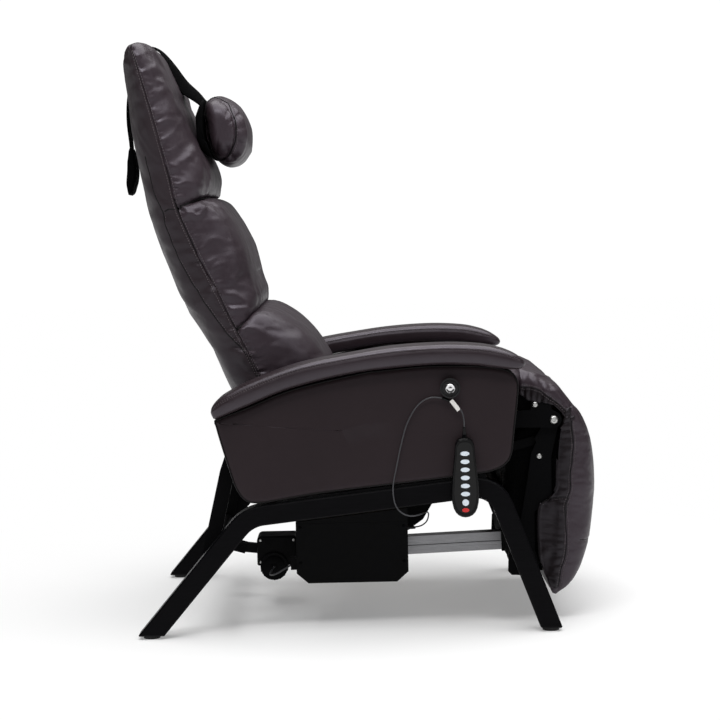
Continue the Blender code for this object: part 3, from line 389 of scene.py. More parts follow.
def simple(name, colour, roughness, metallic=0.0, grain=400.0, depth=0.0002, **sockets):
    s = Shader(name, colour, roughness, metallic, **sockets)
    s.rough(s.range(s.noise(60.0, 4.0), 0.3, 0.7, max(roughness - 0.05, 0.02), roughness + 0.07))
    s.bump(s.noise(grain, 3.0), 0.25, depth)
    return s.mat


def wood_material():
    s = Shader("lacquered_wood", (0.003, 0.003, 0.004), 0.4, Specular_IOR_Level=0.05)
    grain = s.noise(26.0, 6.0, 0.6, (1.0, 14.0, 14.0), 0.3)
    s.colour(grain, [(0.3, (0.0016, 0.0015, 0.002)), (0.7, (0.0034, 0.0032, 0.004))])
    s.rough(s.range(grain, 0.3, 0.7, 0.3, 0.42))
    s.bump(grain, 0.12, 0.0003)
    return s.mat


def powder(name, colour, roughness):
    s = Shader(name, colour, roughness, 0.0, Specular_IOR_Level=0.04)
    s.rough(s.range(s.noise(90.0, 3.0), 0.3, 0.7, roughness - 0.04, roughness + 0.06))
    s.bump(s.noise(1100.0, 2.0), 0.35, 0.0003)
    return s.mat


def brushed(name, colour, roughness, along=(1.0, 60.0, 60.0)):
    s = Shader(name, colour, roughness, 1.0)
    streak = s.noise(30.0, 4.0, 0.6, along)
    s.rough(s.range(streak, 0.3, 0.7, roughness - 0.08, roughness + 0.1))
    s.bump(streak, 0.1, 0.0002)
    return s.mat


def woven(name, colour, light, scale=260.0):
    s = Shader(name, colour, 0.85, Specular_IOR_Level=0.04)
    warp = s.wave(scale, "Y")
    weft = s.wave(scale, "Z")
    weave = s.math("MULTIPLY", warp, weft)
    s.colour(weave, [(0.0, colour), (1.0, light)])
    s.bump(weave, 0.6, 0.0006)
    return s.mat


wood = wood_material()
thread = simple("thread", (0.09, 0.074, 0.08), 0.55, grain=2500.0)
# near-black seam lines: the seam itself, darkened as painted shade of the seam groove; used for the piping,
# welts and pad joins
seam_shadow = simple("seam_line_painted_shade", (0.003, 0.0024, 0.0028), 0.6, grain=900.0, Specular_IOR_Level=0.2)
steel = powder("black_steel", (0.0022, 0.0022, 0.0026), 0.5)
box_paint = powder("box_paint", (0.0062, 0.0062, 0.0066), 0.66)
motor_black = simple("moulded_black", (0.0012, 0.0012, 0.0015), 0.42, grain=700.0, Specular_IOR_Level=0.06)
aluminium = brushed("rail_aluminium", (0.25, 0.25, 0.26), 0.32)
bright = brushed("bright_cap", (0.8, 0.8, 0.81), 0.16, (20.0, 20.0, 20.0))
zinc = brushed("zinc_bolt", (0.55, 0.55, 0.54), 0.3, (8.0, 8.0, 8.0))
rubber = simple("black_rubber", (0.007, 0.007, 0.0078), 0.55, grain=900.0, Specular_IOR_Level=0.35)
cord_rubber = simple("cord_rubber", (0.04, 0.04, 0.045), 0.4, grain=1500.0)
case_grey = simple("handset_grey", (0.0016, 0.0016, 0.002), 0.22, grain=900.0, Specular_IOR_Level=0.18)
gloss = simple("gloss_face", (0.0008, 0.0008, 0.0011), 0.1, grain=20.0, depth=0.00002,
               Specular_IOR_Level=0.25)
icon_white = simple("button_white", (0.75, 0.82, 0.9), 0.3, Emission_Strength=0.0)
button_red = simple("button_red", (0.6, 0.015, 0.015), 0.3)
tag_white = simple("tag_white", (0.75, 0.73, 0.71), 0.6)
board_green = simple("board_green", (0.01, 0.09, 0.03), 0.35)
plywood = Shader("birch_ply", (0.42, 0.3, 0.18), 0.6)
plywood.colour(plywood.noise(14.0, 6.0, 0.6, (1, 10, 10)),
               [(0.3, (0.36, 0.24, 0.14)), (0.7, (0.5, 0.37, 0.23))])
plywood = plywood.mat
webbing = woven("strap_webbing", (0.0008, 0.0008, 0.001), (0.003, 0.003, 0.0034))
pouch_cloth = woven("pouch_cloth", (0.0008, 0.0008, 0.001), (0.0028, 0.0028, 0.0031), 420.0)

# ---------------------------------------------------------------- cords
REMOTE_ROUTE = [
    (0.1003, -0.15, 0.185), (0.112, -0.15, 0.1856), (0.129, -0.162, 0.1905), (0.14, -0.19, 0.204),
    (0.143, -0.23, 0.223), (0.14, -0.275, 0.237), (0.133, -0.313, 0.243), (0.121, -0.34, 0.243),
    (0.104, -0.352, 0.2425), (0.088, -0.3545, 0.248), (0.076, -0.3545, 0.26), (0.07, -0.3542, 0.278),
    (0.069, -0.354, 0.305), (0.076, -0.354, 0.34), (0.087, -0.354, 0.389), (0.1, -0.354, 0.431),
    (0.12, -0.354, 0.464), (0.142, -0.3545, 0.479), (0.164, -0.355, 0.48), (0.183, -0.356, 0.474),
    (0.199, -0.3585, 0.464), (0.209, -0.361, 0.45), (0.2125, -0.363, 0.433), (0.2125, -0.363, 0.4225),
    (0.2125, -0.363, 0.4115), (0.2125, -0.363, 0.4003)]
remote_path = through(REMOTE_ROUTE, 260)
remote_cord = tube("remote_cord_flex", remote_path, 0.0015, cord_rubber, None, 10)
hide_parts("remote_cord", "handset_cord")
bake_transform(remote_cord)
MOTOR_ROUTE = [
    (-0.188, -0.0453, 0.09), (-0.188, -0.056, 0.0885), (-0.192, -0.068, 0.0845), (-0.195, -0.082, 0.081),
    (-0.193, -0.097, 0.08), (-0.185, -0.11, 0.083), (-0.173, -0.12, 0.09), (-0.16, -0.127, 0.099),
    (-0.147, -0.1295, 0.106), (-0.1333, -0.13, 0.108)]
motor_path = through(MOTOR_ROUTE, 90)
motor_cable = tube("motor_lead", motor_path, 0.002, cord_rubber, "base", 10, ("motor_cable",))


# ---------------------------------------------------------------- padded surfaces
def superellipse(count, power_y, power_g, aspect):
    """Half ring from y = -1 over the crown g = 1 to y = +1, evenly spaced for the given depth/width."""
    a = np.linspace(0, math.pi, 4001)
    y = -np.sign(np.cos(a)) * np.abs(np.cos(a)) ** (2 / power_y)
    g = np.abs(np.sin(a)) ** (2 / power_g)
    run = np.r_[0, np.cumsum(np.hypot(np.diff(y), np.diff(g) * aspect))]
    want = np.linspace(0, run[-1], count)
    return np.interp(want, run, y), np.interp(want, run, g)


def puff(rear, front, half, rows, cols, power_y=5.0, power_g=2.2, tuck=(0.01, 0.01), tuck_run=0.03,
         back=8):
    """A crowned pad: rings from a flat rear line to a rounded front, narrowing a little at both ends.
    rear and front are (x, z) outlines given in the same direction."""
    S = through(rear, rows)
    F = through(front, rows)
    depth = np.linalg.norm(F - S, axis=1)
    y, g = superellipse(cols, power_y, power_g, float(depth.mean()) / half)
    run = np.r_[0, np.cumsum(np.linalg.norm(np.diff(F, axis=0), axis=1))]
    ends = np.zeros(rows)
    for amount, d in zip(tuck, (run, run[-1] - run)):
        ends = np.maximum(ends, amount * (1 - ramp(d, 0, tuck_run)))
    wide = half - ends
    P = np.zeros((rows, cols + back, 3))
    P[:, :cols, 0] = S[:, None, 0] + (F - S)[:, None, 0] * g
    P[:, :cols, 2] = S[:, None, 1] + (F - S)[:, None, 1] * g
    P[:, :cols, 1] = y * wide[:, None]
    k = np.linspace(1, -1, back + 2)[1:-1]
    P[:, cols:, 1] = k * wide[:, None]
    P[:, cols:, 0] = S[:, None, 0]
    P[:, cols:, 2] = S[:, None, 1]
    return P


def seam_distance(P, cols):
    """Distance round the ring from the nearer side seam, for the front columns only."""
    step = np.linalg.norm(np.diff(P[:, :cols], axis=1), axis=2)
    run = np.concatenate([np.zeros((P.shape[0], 1)), np.cumsum(step, axis=1)], 1)
    d = np.minimum(run, run[:, -1:] - run)
    out = np.zeros(P.shape[:2])
    out[:, :cols] = d
    return out


def end_distance(P):
    step = np.linalg.norm(np.diff(P, axis=0), axis=2)
    run = np.concatenate([np.zeros((1, P.shape[1])), np.cumsum(step, axis=0)], 0)
    return run, run[-1:] - run


def puckers(P, d, seed, pitch=0.028, reach=0.035, height=0.0016, axis=2):
    """Short folds that start at a seam and fade out."""
    along = P[..., axis] / pitch + 1.1 * field(P, 14.0, seed)
    shape = np.abs(np.sin(math.pi * along)) ** 0.6 - 0.65
    strength = 0.25 + 1.9 * np.clip(field(P, 9.0, seed + 7.0) + 0.1, 0, 1)
    held = 1 - np.exp(-((d / 0.005) ** 2))
    return height * shape * strength * held * np.exp(-((d / reach) ** 1.4))


def creases(P, scale, seed, height, sharp=3.0):
    """Soft ridged folds."""
    n = 1 - np.abs(field(P, scale, seed)) * 2
    return height * np.clip(n, 0, 1) ** sharp


def fold_lines(P, lines):
    """Drawn folds on the side faces: each a polyline of (x, z) points with a width, a height and a
    reach in from the side; a negative height is a valley with a soft ridge beside it."""
    h = np.zeros(P.shape[:2])
    for points, width, height in lines:
        path = through(points, 24)
        q = np.stack([P[..., 0], P[..., 2]], -1)
        d = np.full(P.shape[:2], 9.0)
        t = np.zeros(P.shape[:2])
        for k, p in enumerate(path):
            e = np.linalg.norm(q - p, axis=2)
            t = np.where(e < d, k / 23, t)
            d = np.minimum(d, e)
        taper = np.sin(np.clip(t * 0.86 + 0.1, 0, 1) * math.pi) ** 0.6
        near_side = ramp(np.abs(P[..., 1]), 0.12, 0.2)
        ridge = np.exp(-((d / width) ** 2)) - 0.45 * np.exp(-((d / width / 2.2) ** 2))
        h += height * taper * near_side * ridge
    return h


def blur(A, sigma):
    """A small separable smoothing over a grid of numbers."""
    reach = int(3 * sigma)
    k = np.exp(-0.5 * (np.arange(-reach, reach + 1) / sigma) ** 2)
    k /= k.sum()
    for axis in (0, 1):
        pad = [(reach, reach) if a == axis else (0, 0) for a in range(2)]
        B = np.pad(A, pad, mode="edge")
        A = sum(w * np.take(B, np.arange(i, i + A.shape[axis]), axis) for i, w in enumerate(k))
    return A


def settle(P, held, pressure=4.0, slack=0.03, frames=12, cap=0.0034, fine=0.55):
    """Cloth simulation of a cover over its pad. The cover is cut a little too large and blown out
    between its held seams; the folds this makes are returned as heights along the normals."""
    scene = bpy.context.scene
    skin = Skin(P)
    mesh = skin.mesh("settling")
    obj = bpy.data.objects.new("settling", mesh)
    scene.collection.objects.link(obj)
    group = obj.vertex_groups.new(name="held")
    weights = held.reshape(-1)
    for k in np.nonzero(weights > 0.001)[0]:
        group.add([int(k)], float(weights[k]), "REPLACE")
    cloth = obj.modifiers.new("cloth", "CLOTH")
    s = cloth.settings
    s.quality = 5
    s.mass = 0.25
    s.tension_stiffness = s.compression_stiffness = 20.0
    s.shear_stiffness = 8.0
    s.bending_stiffness = 0.4
    s.air_damping = 2.0
    s.vertex_group_mass = "held"
    s.pin_stiffness = 1.0
    s.use_pressure = True
    s.uniform_pressure_force = pressure
    s.shrink_min = -slack
    s.effector_weights.gravity = 0.0
    cloth.collision_settings.use_collision = False
    cloth.point_cache.frame_start = 1
    cloth.point_cache.frame_end = frames
    for f in range(1, frames + 1):
        scene.frame_set(f)
    done = obj.evaluated_get(bpy.context.evaluated_depsgraph_get())
    Q = np.array([v.co for v in done.data.vertices]).reshape(P.shape)
    bpy.data.objects.remove(obj)
    scene.frame_set(1)
    h = ((Q - P) * skin.normals).sum(2)
    h = np.nan_to_num(h)
    folds = (h - blur(h, 4.5)) * fine
    return cap * np.tanh(folds / cap)


def pad_piece(name, P, cols, node, body, bump, mat=None, held=None, slack=0.03):
    skin = Skin(P)
    height = bump(P)
    if held is None:
        held = np.zeros(P.shape[:2])
        held[:, :2] = held[:, cols - 2:] = 1
        held[:1] = held[-1:] = 1
    height = height + settle(P, held, slack=slack)
    height[:, cols:] = 0
    skin.raise_by(height)
    obj = new_object(name, skin.mesh(name), mat or leather, body,
                     (node,) if isinstance(node, str) else node)
    return obj, skin


SEAM = [
    (-0.441, 1.195), (-0.439, 1.186), (-0.4344, 1.172), (-0.427, 1.145), (-0.418, 1.112), (-0.397, 1.031),
    (-0.374, 0.941), (-0.36, 0.875), (-0.345, 0.834), (-0.318, 0.774), (-0.284, 0.703), (-0.245, 0.621),
    (-0.205, 0.535), (-0.168, 0.46)]


def seam_part(high, low):
    seam = np.array(SEAM)
    x = lambda z: float(np.interp(-z, -seam[:, 1], seam[:, 0]))
    return [(x(high), high)] + [p for p in SEAM if low + 0.006 < p[1] < high - 0.006] + [(x(low), low)]


BACK_HALF = 0.258
COLS = 150


def back_pad_bump(seed, ends=(True, True), folds=()):
    def bump(P):
        d = seam_distance(P, COLS)
        side = ramp(np.abs(P[..., 1]), 0.1, 0.22)
        h = 0.0022 * (1 - np.exp(-((d / 0.008) ** 2))) - 0.0022
        h += puckers(P, d, seed, 0.03, 0.026, 0.006)
        h += puckers(P, d, seed + 1.7, 0.0125, 0.014, 0.006)
        for use, e in zip(ends, end_distance(P)):
            if use:
                h -= 0.003 * np.exp(-((e / 0.005) ** 2))
                h += puckers(P, e, seed + 3.0, 0.04, 0.04, 0.004, 1)
        h += creases(P, (9.0, 5.0, 14.0), seed + 11.0, 0.0026) * np.exp(-d / 0.12)
        h += creases(P, (15.0, 9.0, 26.0), seed + 17.0, 0.0024) * np.exp(-d / 0.06)
        h += 0.0014 * field(P, (6.0, 6.0, 6.0), seed + 23.0)
        h += fold_lines(P, folds) * side
        return h
    return bump


HEAD_FRONT = [
    (-0.4405, 1.205), (-0.428, 1.2085), (-0.413, 1.2055), (-0.398, 1.189), (-0.382, 1.157),
    (-0.3571, 1.0977), (-0.342, 1.05), (-0.326, 1.008), (-0.308, 0.976), (-0.2971, 0.949), (-0.293, 0.93),
    (-0.294, 0.912), (-0.299, 0.898), (-0.307, 0.888)]
MIDDLE_FRONT = [
    (-0.306, 0.8862), (-0.2926, 0.8878), (-0.2771, 0.88), (-0.263, 0.864), (-0.2453, 0.836),
    (-0.2294, 0.8068), (-0.2163, 0.7732), (-0.2085, 0.735), (-0.203, 0.712), (-0.195, 0.693),
    (-0.193, 0.678), (-0.1945, 0.664), (-0.2, 0.654), (-0.208, 0.649)]
LUMBAR_FRONT = [
    (-0.208, 0.654), (-0.196, 0.66), (-0.18, 0.6605), (-0.1609, 0.653), (-0.1389, 0.639),
    (-0.117, 0.6215), (-0.0952, 0.6015), (-0.0789, 0.581), (-0.0628, 0.5555), (-0.052, 0.535),
    (-0.045, 0.505), (-0.048, 0.475), (-0.066, 0.448), (-0.11, 0.436)]
# the deeper folds: where the pads are drawn down at the seam ends
HEAD_FOLDS = [([(-0.385, 0.965), (-0.36, 0.955), (-0.33, 0.975), (-0.318, 1.01)], 0.009, 0.005),
              ([(-0.395, 1.03), (-0.375, 1.045), (-0.35, 1.04)], 0.008, 0.003),
              ([(-0.42, 1.12), (-0.395, 1.105), (-0.375, 1.11)], 0.009, 0.0034)]
MIDDLE_FOLDS = [([(-0.345, 0.872), (-0.33, 0.855), (-0.312, 0.852), (-0.304, 0.866), (-0.318, 0.876)],
                 0.005, 0.0055),
                ([(-0.262, 0.692), (-0.24, 0.688), (-0.222, 0.672)], 0.008, 0.005),
                ([(-0.275, 0.716), (-0.25, 0.722), (-0.232, 0.742)], 0.009, 0.004),
                ([(-0.25, 0.66), (-0.232, 0.662), (-0.215, 0.66)], 0.006, 0.004)]
LUMBAR_FOLDS = [([(-0.236, 0.615), (-0.215, 0.62), (-0.19, 0.612)], 0.007, 0.004),
                ([(-0.165, 0.505), (-0.13, 0.512), (-0.1, 0.5)], 0.008, 0.0045),
                ([(-0.17, 0.48), (-0.14, 0.488), (-0.11, 0.48)], 0.007, 0.004)]

_, head_skin = pad_piece(
    "head_cushion", puff(seam_part(1.19, 0.866), HEAD_FRONT, BACK_HALF, 90, COLS, 6.0, 2.3, (0.0, 0.004)),
    COLS, "head_pad", "backrest", back_pad_bump(1.3, (False, True), HEAD_FOLDS))
_, middle_skin = pad_piece(
    "middle_cushion", puff(seam_part(0.869, 0.616), MIDDLE_FRONT, BACK_HALF, 72, COLS, 6.0, 2.3,
                           (0.004, 0.004)),
    COLS, "middle_pad", "backrest", back_pad_bump(5.1, (True, True), MIDDLE_FOLDS))
_, lumbar_skin = pad_piece(
    "lumbar_cushion", puff(seam_part(0.619, 0.46), LUMBAR_FRONT, BACK_HALF, 66, COLS, 6.0, 2.3,
                           (0.004, 0.006)),
    COLS, "lumbar_pad", "backrest", back_pad_bump(9.7, (True, False), LUMBAR_FOLDS))

REAR = [
    (-0.4412, 1.202), (-0.4516, 1.199), (-0.4592, 1.189), (-0.464, 1.174), (-0.4655, 1.16),
    (-0.461, 1.101), (-0.451, 1.009), (-0.435, 0.927), (-0.419, 0.845), (-0.401, 0.7829), (-0.378, 0.725),
    (-0.352, 0.6684), (-0.329, 0.629), (-0.309, 0.594), (-0.289, 0.553), (-0.274, 0.5162),
    (-0.26, 0.4847), (-0.242, 0.435), (-0.23, 0.408)]


def shell_bump(P):
    d = seam_distance(P, COLS)
    h = 0.002 * (1 - np.exp(-((d / 0.008) ** 2))) - 0.002
    low = 0.4 + 1.3 * ramp(-P[..., 2], -0.9, -0.62)
    h += puckers(P, d, 21.0, 0.03, 0.03, 0.0085) * low
    h += puckers(P, d, 22.3, 0.014, 0.012, 0.006)
    h += creases(P, (9.0, 3.0, 5.0), 25.0, 0.005) * np.exp(-d / 0.12) * low
    h += 0.0022 * field(P, (5.0, 5.0, 7.0), 27.0)
    strap_path = ramp(-np.abs(P[..., 1]), -0.075, -0.045) * ramp(P[..., 2], 0.86, 0.92)
    return h * (1 - strap_path) - 0.003 * strap_path


SHELL_SEAM = [(-0.441, 1.19)] + SEAM[1:-1] + [(-0.19, 0.505), (-0.18, 0.42)]
_, shell_skin = pad_piece("back_cover", puff(SHELL_SEAM, REAR, BACK_HALF + 0.001, 140, COLS, 7.0, 2.6,
                                                 (0.0, 0.004), 0.05),
                              COLS, "back_shell", "backrest", shell_bump, shell_leather)


def seam_rows(skin, rows, col_of, count=160):
    return line_on(skin, [(rows[0] + (rows[1] - rows[0]) * k / 30, col_of) for k in range(31)], count)


def skin_line(skin, targets, cols, count=120):
    """A line along a skin through the points nearest to (x, z) targets, on both side faces."""
    out = []
    for side, start in ((RIGHT, 0), (LEFT, cols // 2)):
        part = skin.points[:, start:start + cols // 2]
        coords = []
        for x, z in targets:
            e = np.hypot(part[..., 0] - x, part[..., 2] - z) + 0.1 * np.abs(part[..., 1] - side * BACK_HALF)
            r, c = np.unravel_index(int(np.argmin(e)), e.shape)
            coords.append((float(r), float(c + start)))
        out.append(line_on(skin, coords, count))
    return out


def welt(name, lines, radius, mat, body, sink=0.3):
    verts, faces = [], []
    for P, N in lines:
        tube_rings(P - N * radius * sink, radius, 6, verts, faces)
    return new_object(name, mesh_of(name, verts, faces), mat, body)


# double-stitched seam between pads and shell, both sides, and its piping carried over the top; piping and
# seam lines are near-black as painted shade of the seam groove
lines = []
for skin in (head_skin, middle_skin, lumbar_skin, shell_skin):
    R = skin.points.shape[0]
    for col in (1.0, COLS - 2.0):
        lines.append(seam_rows(skin, (1.0, R - 2.0), col, 150))
stitches("back_seam_stitches", lines, thread, "backrest", 0.0056, 0.0006, 0.0005)
verts, faces = [], []
for side in (RIGHT, LEFT):
    path = through([(x, side * (BACK_HALF - 0.0012), z) for x, z in SEAM[1:]], 150)
    tube_rings(path, 0.0014, 8, verts, faces)
over = head_skin.points[0, 3:COLS - 3] - head_skin.normals[0, 3:COLS - 3] * 0.0012
tube_rings(over, 0.0012, 8, verts, faces)
new_object("back_seam_piping", mesh_of("back_seam_piping", verts, faces), seam_shadow, "backrest")
SHELL_SECOND = [
    (-0.4213, 0.972), (-0.4067, 0.9161), (-0.385, 0.8595), (-0.3788, 0.8291), (-0.3481, 0.7472),
    (-0.3094, 0.6752), (-0.264, 0.615), (-0.225, 0.57), (-0.199, 0.52)]
second = skin_line(shell_skin, SHELL_SECOND, COLS, 140)
short = skin_line(shell_skin, [(-0.384, 0.86), (-0.372, 0.864), (-0.36, 0.867)], COLS, 30)
welt("shell_panel_seams", second + short, 0.0013, seam_shadow, "backrest")
stitches("shell_panel_stitches", [(P + N * 0.001 + np.array((0.0035, 0, 0.001)), N) for P, N in second],
         thread, "backrest", 0.0056, 0.00045)
# the crossing lines where one pad is sewn against the next: thick near-black tubes, painted shade of the
# crease between the pads
for k, (skin, row) in enumerate(((head_skin, -1), (middle_skin, -1))):
    edge = skin.points[row, 3:COLS - 3]
    centre = skin.points[row, COLS:].mean(0)
    inward = (centre - edge) * np.array((1.0, 0.0, 1.0))
    inward /= np.maximum(np.linalg.norm(inward, axis=1, keepdims=True), 1e-6)
    tube("pad_join_" + str(k), edge + inward * 0.004, 0.0045, seam_shadow, "backrest", 8)

# ---------------------------------------------------------------- pillow
PILLOW_HALF = 0.132
PILLOW = [
    (-0.313, 1.072), (-0.311, 1.087), (-0.303, 1.099), (-0.286, 1.104), (-0.269, 1.101), (-0.251, 1.0925),
    (-0.2308, 1.074), (-0.2184, 1.048), (-0.214, 1.027), (-0.2159, 0.9996), (-0.2259, 0.9739),
    (-0.2412, 0.9575), (-0.26, 0.9523), (-0.2748, 0.957), (-0.288, 0.97), (-0.302, 0.984),
    (-0.3085, 1.0164), (-0.3118, 1.05)]


def rolled(outline, y0, y1, rows, cols, power=3.6, floor=0.1):
    """An (x, z) outline carried along Y between soft, drawn-in ends."""
    ring = through(outline, cols, closed=True)
    middle_ = ring.mean(0)
    a = np.linspace(-1, 1, rows)
    v = np.sin(a * math.pi / 2)
    size = np.maximum((1 - np.abs(v) ** power) ** (1 / power), floor)
    P = np.zeros((rows, cols, 3))
    P[..., 0] = middle_[0] + (ring[:, 0] - middle_[0]) * size[:, None]
    P[..., 2] = middle_[1] + (ring[:, 1] - middle_[1]) * size[:, None]
    P[..., 1] = ((y0 + y1) / 2 + (y1 - y0) / 2 * v)[:, None]
    return P


P = rolled(PILLOW, -PILLOW_HALF, PILLOW_HALF, 110, 110, 3.0)
pillow_skin = Skin(P)
# the end panel is set in with a seam that runs nearer the middle at the front than at the back
END_SEAM = [
    (-0.3, 1.0965), (-0.284, 1.1), (-0.2663, 1.0921), (-0.2537, 1.0772), (-0.245, 1.0549),
    (-0.2413, 1.029), (-0.2433, 1.0069), (-0.2486, 0.9904), (-0.262, 0.9741), (-0.278, 0.967),
    (-0.289, 0.974), (-0.2975, 0.993), (-0.301, 1.02), (-0.3045, 1.048), (-0.3075, 1.07),
    (-0.3065, 1.088)]
ring = through(END_SEAM, 120, closed=True)
q = np.stack([P[..., 0], P[..., 2]], -1)
edge = np.full(P.shape[:2], 9.0)
for point in ring:
    edge = np.minimum(edge, np.linalg.norm(q - point, axis=2))
ends = ramp(np.abs(P[..., 1]), 0.085, 0.105)
forward = ramp(P[..., 0], -0.3, -0.262)
h = -0.005 * np.exp(-((edge / 0.0042) ** 2)) * ends
angle = np.arctan2(P[..., 2] - 1.03, P[..., 0] + 0.278)
folds = np.abs(np.sin(angle * 6.5 + 1.9 * field(P, 12.0, 3.0))) ** 0.6 - 0.62
h += 0.015 * folds * np.exp(-((edge / 0.019) ** 1.5)) * (1 - np.exp(-((edge / 0.004) ** 2))) * (
    0.25 + 1.3 * np.clip(field(P, 10.0, 8.0) + 0.25, 0, 1)) * forward * ends
h += creases(P, (10.0, 5.0, 10.0), 2.0, 0.0026)
h += 0.0024 * field(P, (9.0, 5.0, 9.0), 12.0)
h += 0.006 * ends * ramp(edge, 0.0, 0.025)
held = np.exp(-((edge / 0.003) ** 2)) * ends
held[:2] = held[-2:] = 1
h += settle(P, held, 5.0, 0.015)
rim = np.arange(110)
pole = ramp(np.minimum(rim, rim[::-1]), 0, 11)[:, None]
pillow_skin.raise_by(h * pole + 0.004 * (1 - pole) - 0.001)
pillow = new_object("head_pillow_cushion", pillow_skin.mesh("pillow"), leather, "pillow",
                    ("head_pillow",))


def pillow_ring(side, shift=0.0):
    """The closed end seam found on the pillow's skin, or a ring a little outside it."""
    G = pillow_skin.points
    part = G[:55] if side == RIGHT else G[55:]
    centre = ring.mean(0)
    picked = []
    for point in ring[::4]:
        out = point - centre
        x, z = point + out / np.linalg.norm(out) * shift
        e = np.hypot(part[..., 0] - x, part[..., 2] - z) + 0.15 * (0.141 - np.abs(part[..., 1]))
        r_, c_ = np.unravel_index(int(np.argmin(e)), e.shape)
        picked.append(part[r_, c_])
    line = through(picked, 160, closed=True)
    line = np.vstack([line, line[:1]])
    N = np.tile(np.array((0.0, float(side), 0.0)), (len(line), 1))
    away = line - line.mean(0)
    N = N + away / np.linalg.norm(away, axis=1, keepdims=True)
    return line, N / np.linalg.norm(N, axis=1, keepdims=True)


welt("pillow_piping", [pillow_ring(s_) for s_ in (RIGHT, LEFT)], 0.0014, seam_shadow, "pillow", 0.1)
stitches("pillow_stitches", [pillow_ring(s_, 0.0045) for s_ in (RIGHT, LEFT)], thread, "pillow", 0.0052,
         0.00045, 0.0006)
# the black cloth back that the strap is sewn to
BACKING = [
    (-0.308, 1.096), (-0.314, 1.093), (-0.32, 1.08), (-0.3262, 1.058), (-0.3262, 1.03), (-0.3235, 1.005),
    (-0.317, 0.988), (-0.305, 0.977), (-0.293, 0.97), (-0.296, 0.98), (-0.304, 0.993), (-0.309, 1.02),
    (-0.311, 1.05), (-0.31, 1.076)]
P = rolled(BACKING, -0.134, 0.134, 50, 60, 7.0, 0.5)
backing_skin = Skin(P)
backing_skin.raise_by(creases(P, (16.0, 8.0, 16.0), 14.0, 0.0012))
new_object("pillow_backing", backing_skin.mesh("pillow_backing"), pouch_cloth, "pillow")


def flat_strap(name, path, half, thick, mat, body, replaces=(), rows=90, cols=14, sag=(0.0, 0.0)):
    """A woven strap: a thin closed band of the given half width along an (x, z) path, its edges
    hanging below its middle by the amounts given at even steps along it."""
    line = through(path, rows)
    tangent = np.gradient(line, axis=0)
    tangent /= np.linalg.norm(tangent, axis=1, keepdims=True)
    off = np.stack([-tangent[:, 1], tangent[:, 0]], 1)
    if off[rows // 2, 1] < 0:
        off = -off
    y = np.linspace(-half, half, cols)
    drop = np.interp(np.linspace(0, 1, rows), np.linspace(0, 1, len(sag)), sag)
    P = np.zeros((rows, cols * 2, 3))
    for k, sign in ((0, 0.5), (1, -0.5)):
        yy = y if k == 0 else y[::-1]
        down = (np.abs(yy) / half) ** 2.2
        sl = slice(k * cols, (k + 1) * cols)
        shift = sign * thick - drop[:, None] * down[None, :]
        P[:, sl, 0] = line[:, 0][:, None] + off[:, 0][:, None] * shift
        P[:, sl, 2] = line[:, 1][:, None] + off[:, 1][:, None] * shift
        P[:, sl, 1] = yy
    skin = Skin(P)
    skin.raise_by(0.0005 * field(P, (20.0, 30.0, 20.0), 4.0))
    return new_object(name, skin.mesh(name), mat, body, replaces), skin


STRAP_HALF = 0.03
flat_strap("pillow_strap", [(-0.444, 1.211), (-0.433, 1.214), (-0.417, 1.2125), (-0.3985, 1.2005),
                            (-0.376, 1.174),
                            (-0.352, 1.141), (-0.327, 1.116), (-0.311, 1.096)],
           STRAP_HALF, 0.0022, webbing, "pillow", ("pillow_strap_front",),
           sag=(0.001, 0.002, 0.005, 0.01, 0.016, 0.022, 0.025, 0.021, 0.015))
flat_strap("counterweight_strap", [(-0.4425, 1.209), (-0.456, 1.203), (-0.466, 1.19), (-0.4705, 1.165),
                                   (-0.4745, 1.13), (-0.48, 1.09), (-0.4805, 1.05), (-0.477, 1.01),
                                   (-0.4755, 0.985)],
           STRAP_HALF, 0.003, webbing, "counterweight", ("pillow_strap_rear",),
           sag=(0.001, 0.001))
POUCH = [
    (-0.477, 1.0), (-0.47, 0.996), (-0.4655, 0.9702), (-0.4633, 0.9474), (-0.4654, 0.9284),
    (-0.47, 0.9133), (-0.474, 0.902), (-0.4816, 0.898), (-0.4848, 0.9098), (-0.4868, 0.9251),
    (-0.4846, 0.9478), (-0.4816, 0.975)]
P = rolled(POUCH, -STRAP_HALF - 0.008, STRAP_HALF + 0.008, 50, 60, 6.0, 0.25)
pouch_skin = Skin(P)
pouch_skin.raise_by(creases(P, (20.0, 10.0, 14.0), 6.0, 0.0014) - 0.0008)
pouch = new_object("counterweight_pouch", pouch_skin.mesh("pouch"), pouch_cloth, "counterweight",
                   ("pillow_counterweight",))


# ---------------------------------------------------------------- seat, knee and leg rest
def slab(bottom, top, y0, y1, rows, cols, power_y=4.0, power_z=2.6, end_run=0.05, end_pull=0.25):
    """A long cushion between a bottom and a top (x, z) line, rounded across Y and at both ends."""
    B = through(bottom, rows)
    T = through(top, rows)
    a = np.linspace(0, math.tau, 4001)
    yy = np.sign(np.cos(a)) * np.abs(np.cos(a)) ** (2 / power_y)
    zz = np.sign(np.sin(a)) * np.abs(np.sin(a)) ** (2 / power_z)
    aspect = float(np.linalg.norm(T - B, axis=1).mean()) / (y1 - y0)
    run = np.r_[0, np.cumsum(np.hypot(np.diff(yy), np.diff(zz) * aspect))]
    want = np.linspace(0, run[-1], cols, endpoint=False)
    yy, zz = np.interp(want, run, yy), np.interp(want, run, zz)
    run = np.r_[0, np.cumsum(np.linalg.norm(np.diff((B + T) / 2, axis=0), axis=1))]
    near = np.minimum(run, run[-1] - run)
    wide = 1 - end_pull * (1 - np.sqrt(np.clip(1 - (1 - np.clip(near / end_run, 0, 1)) ** 2, 0, 1)))
    P = np.zeros((rows, cols, 3))
    P[..., 0] = (B + T)[:, None, 0] / 2 + (T - B)[:, None, 0] / 2 * zz
    P[..., 2] = (B + T)[:, None, 1] / 2 + (T - B)[:, None, 1] / 2 * zz
    P[..., 1] = (y0 + y1) / 2 + (y1 - y0) / 2 * yy * wide[:, None]
    return P, yy, zz


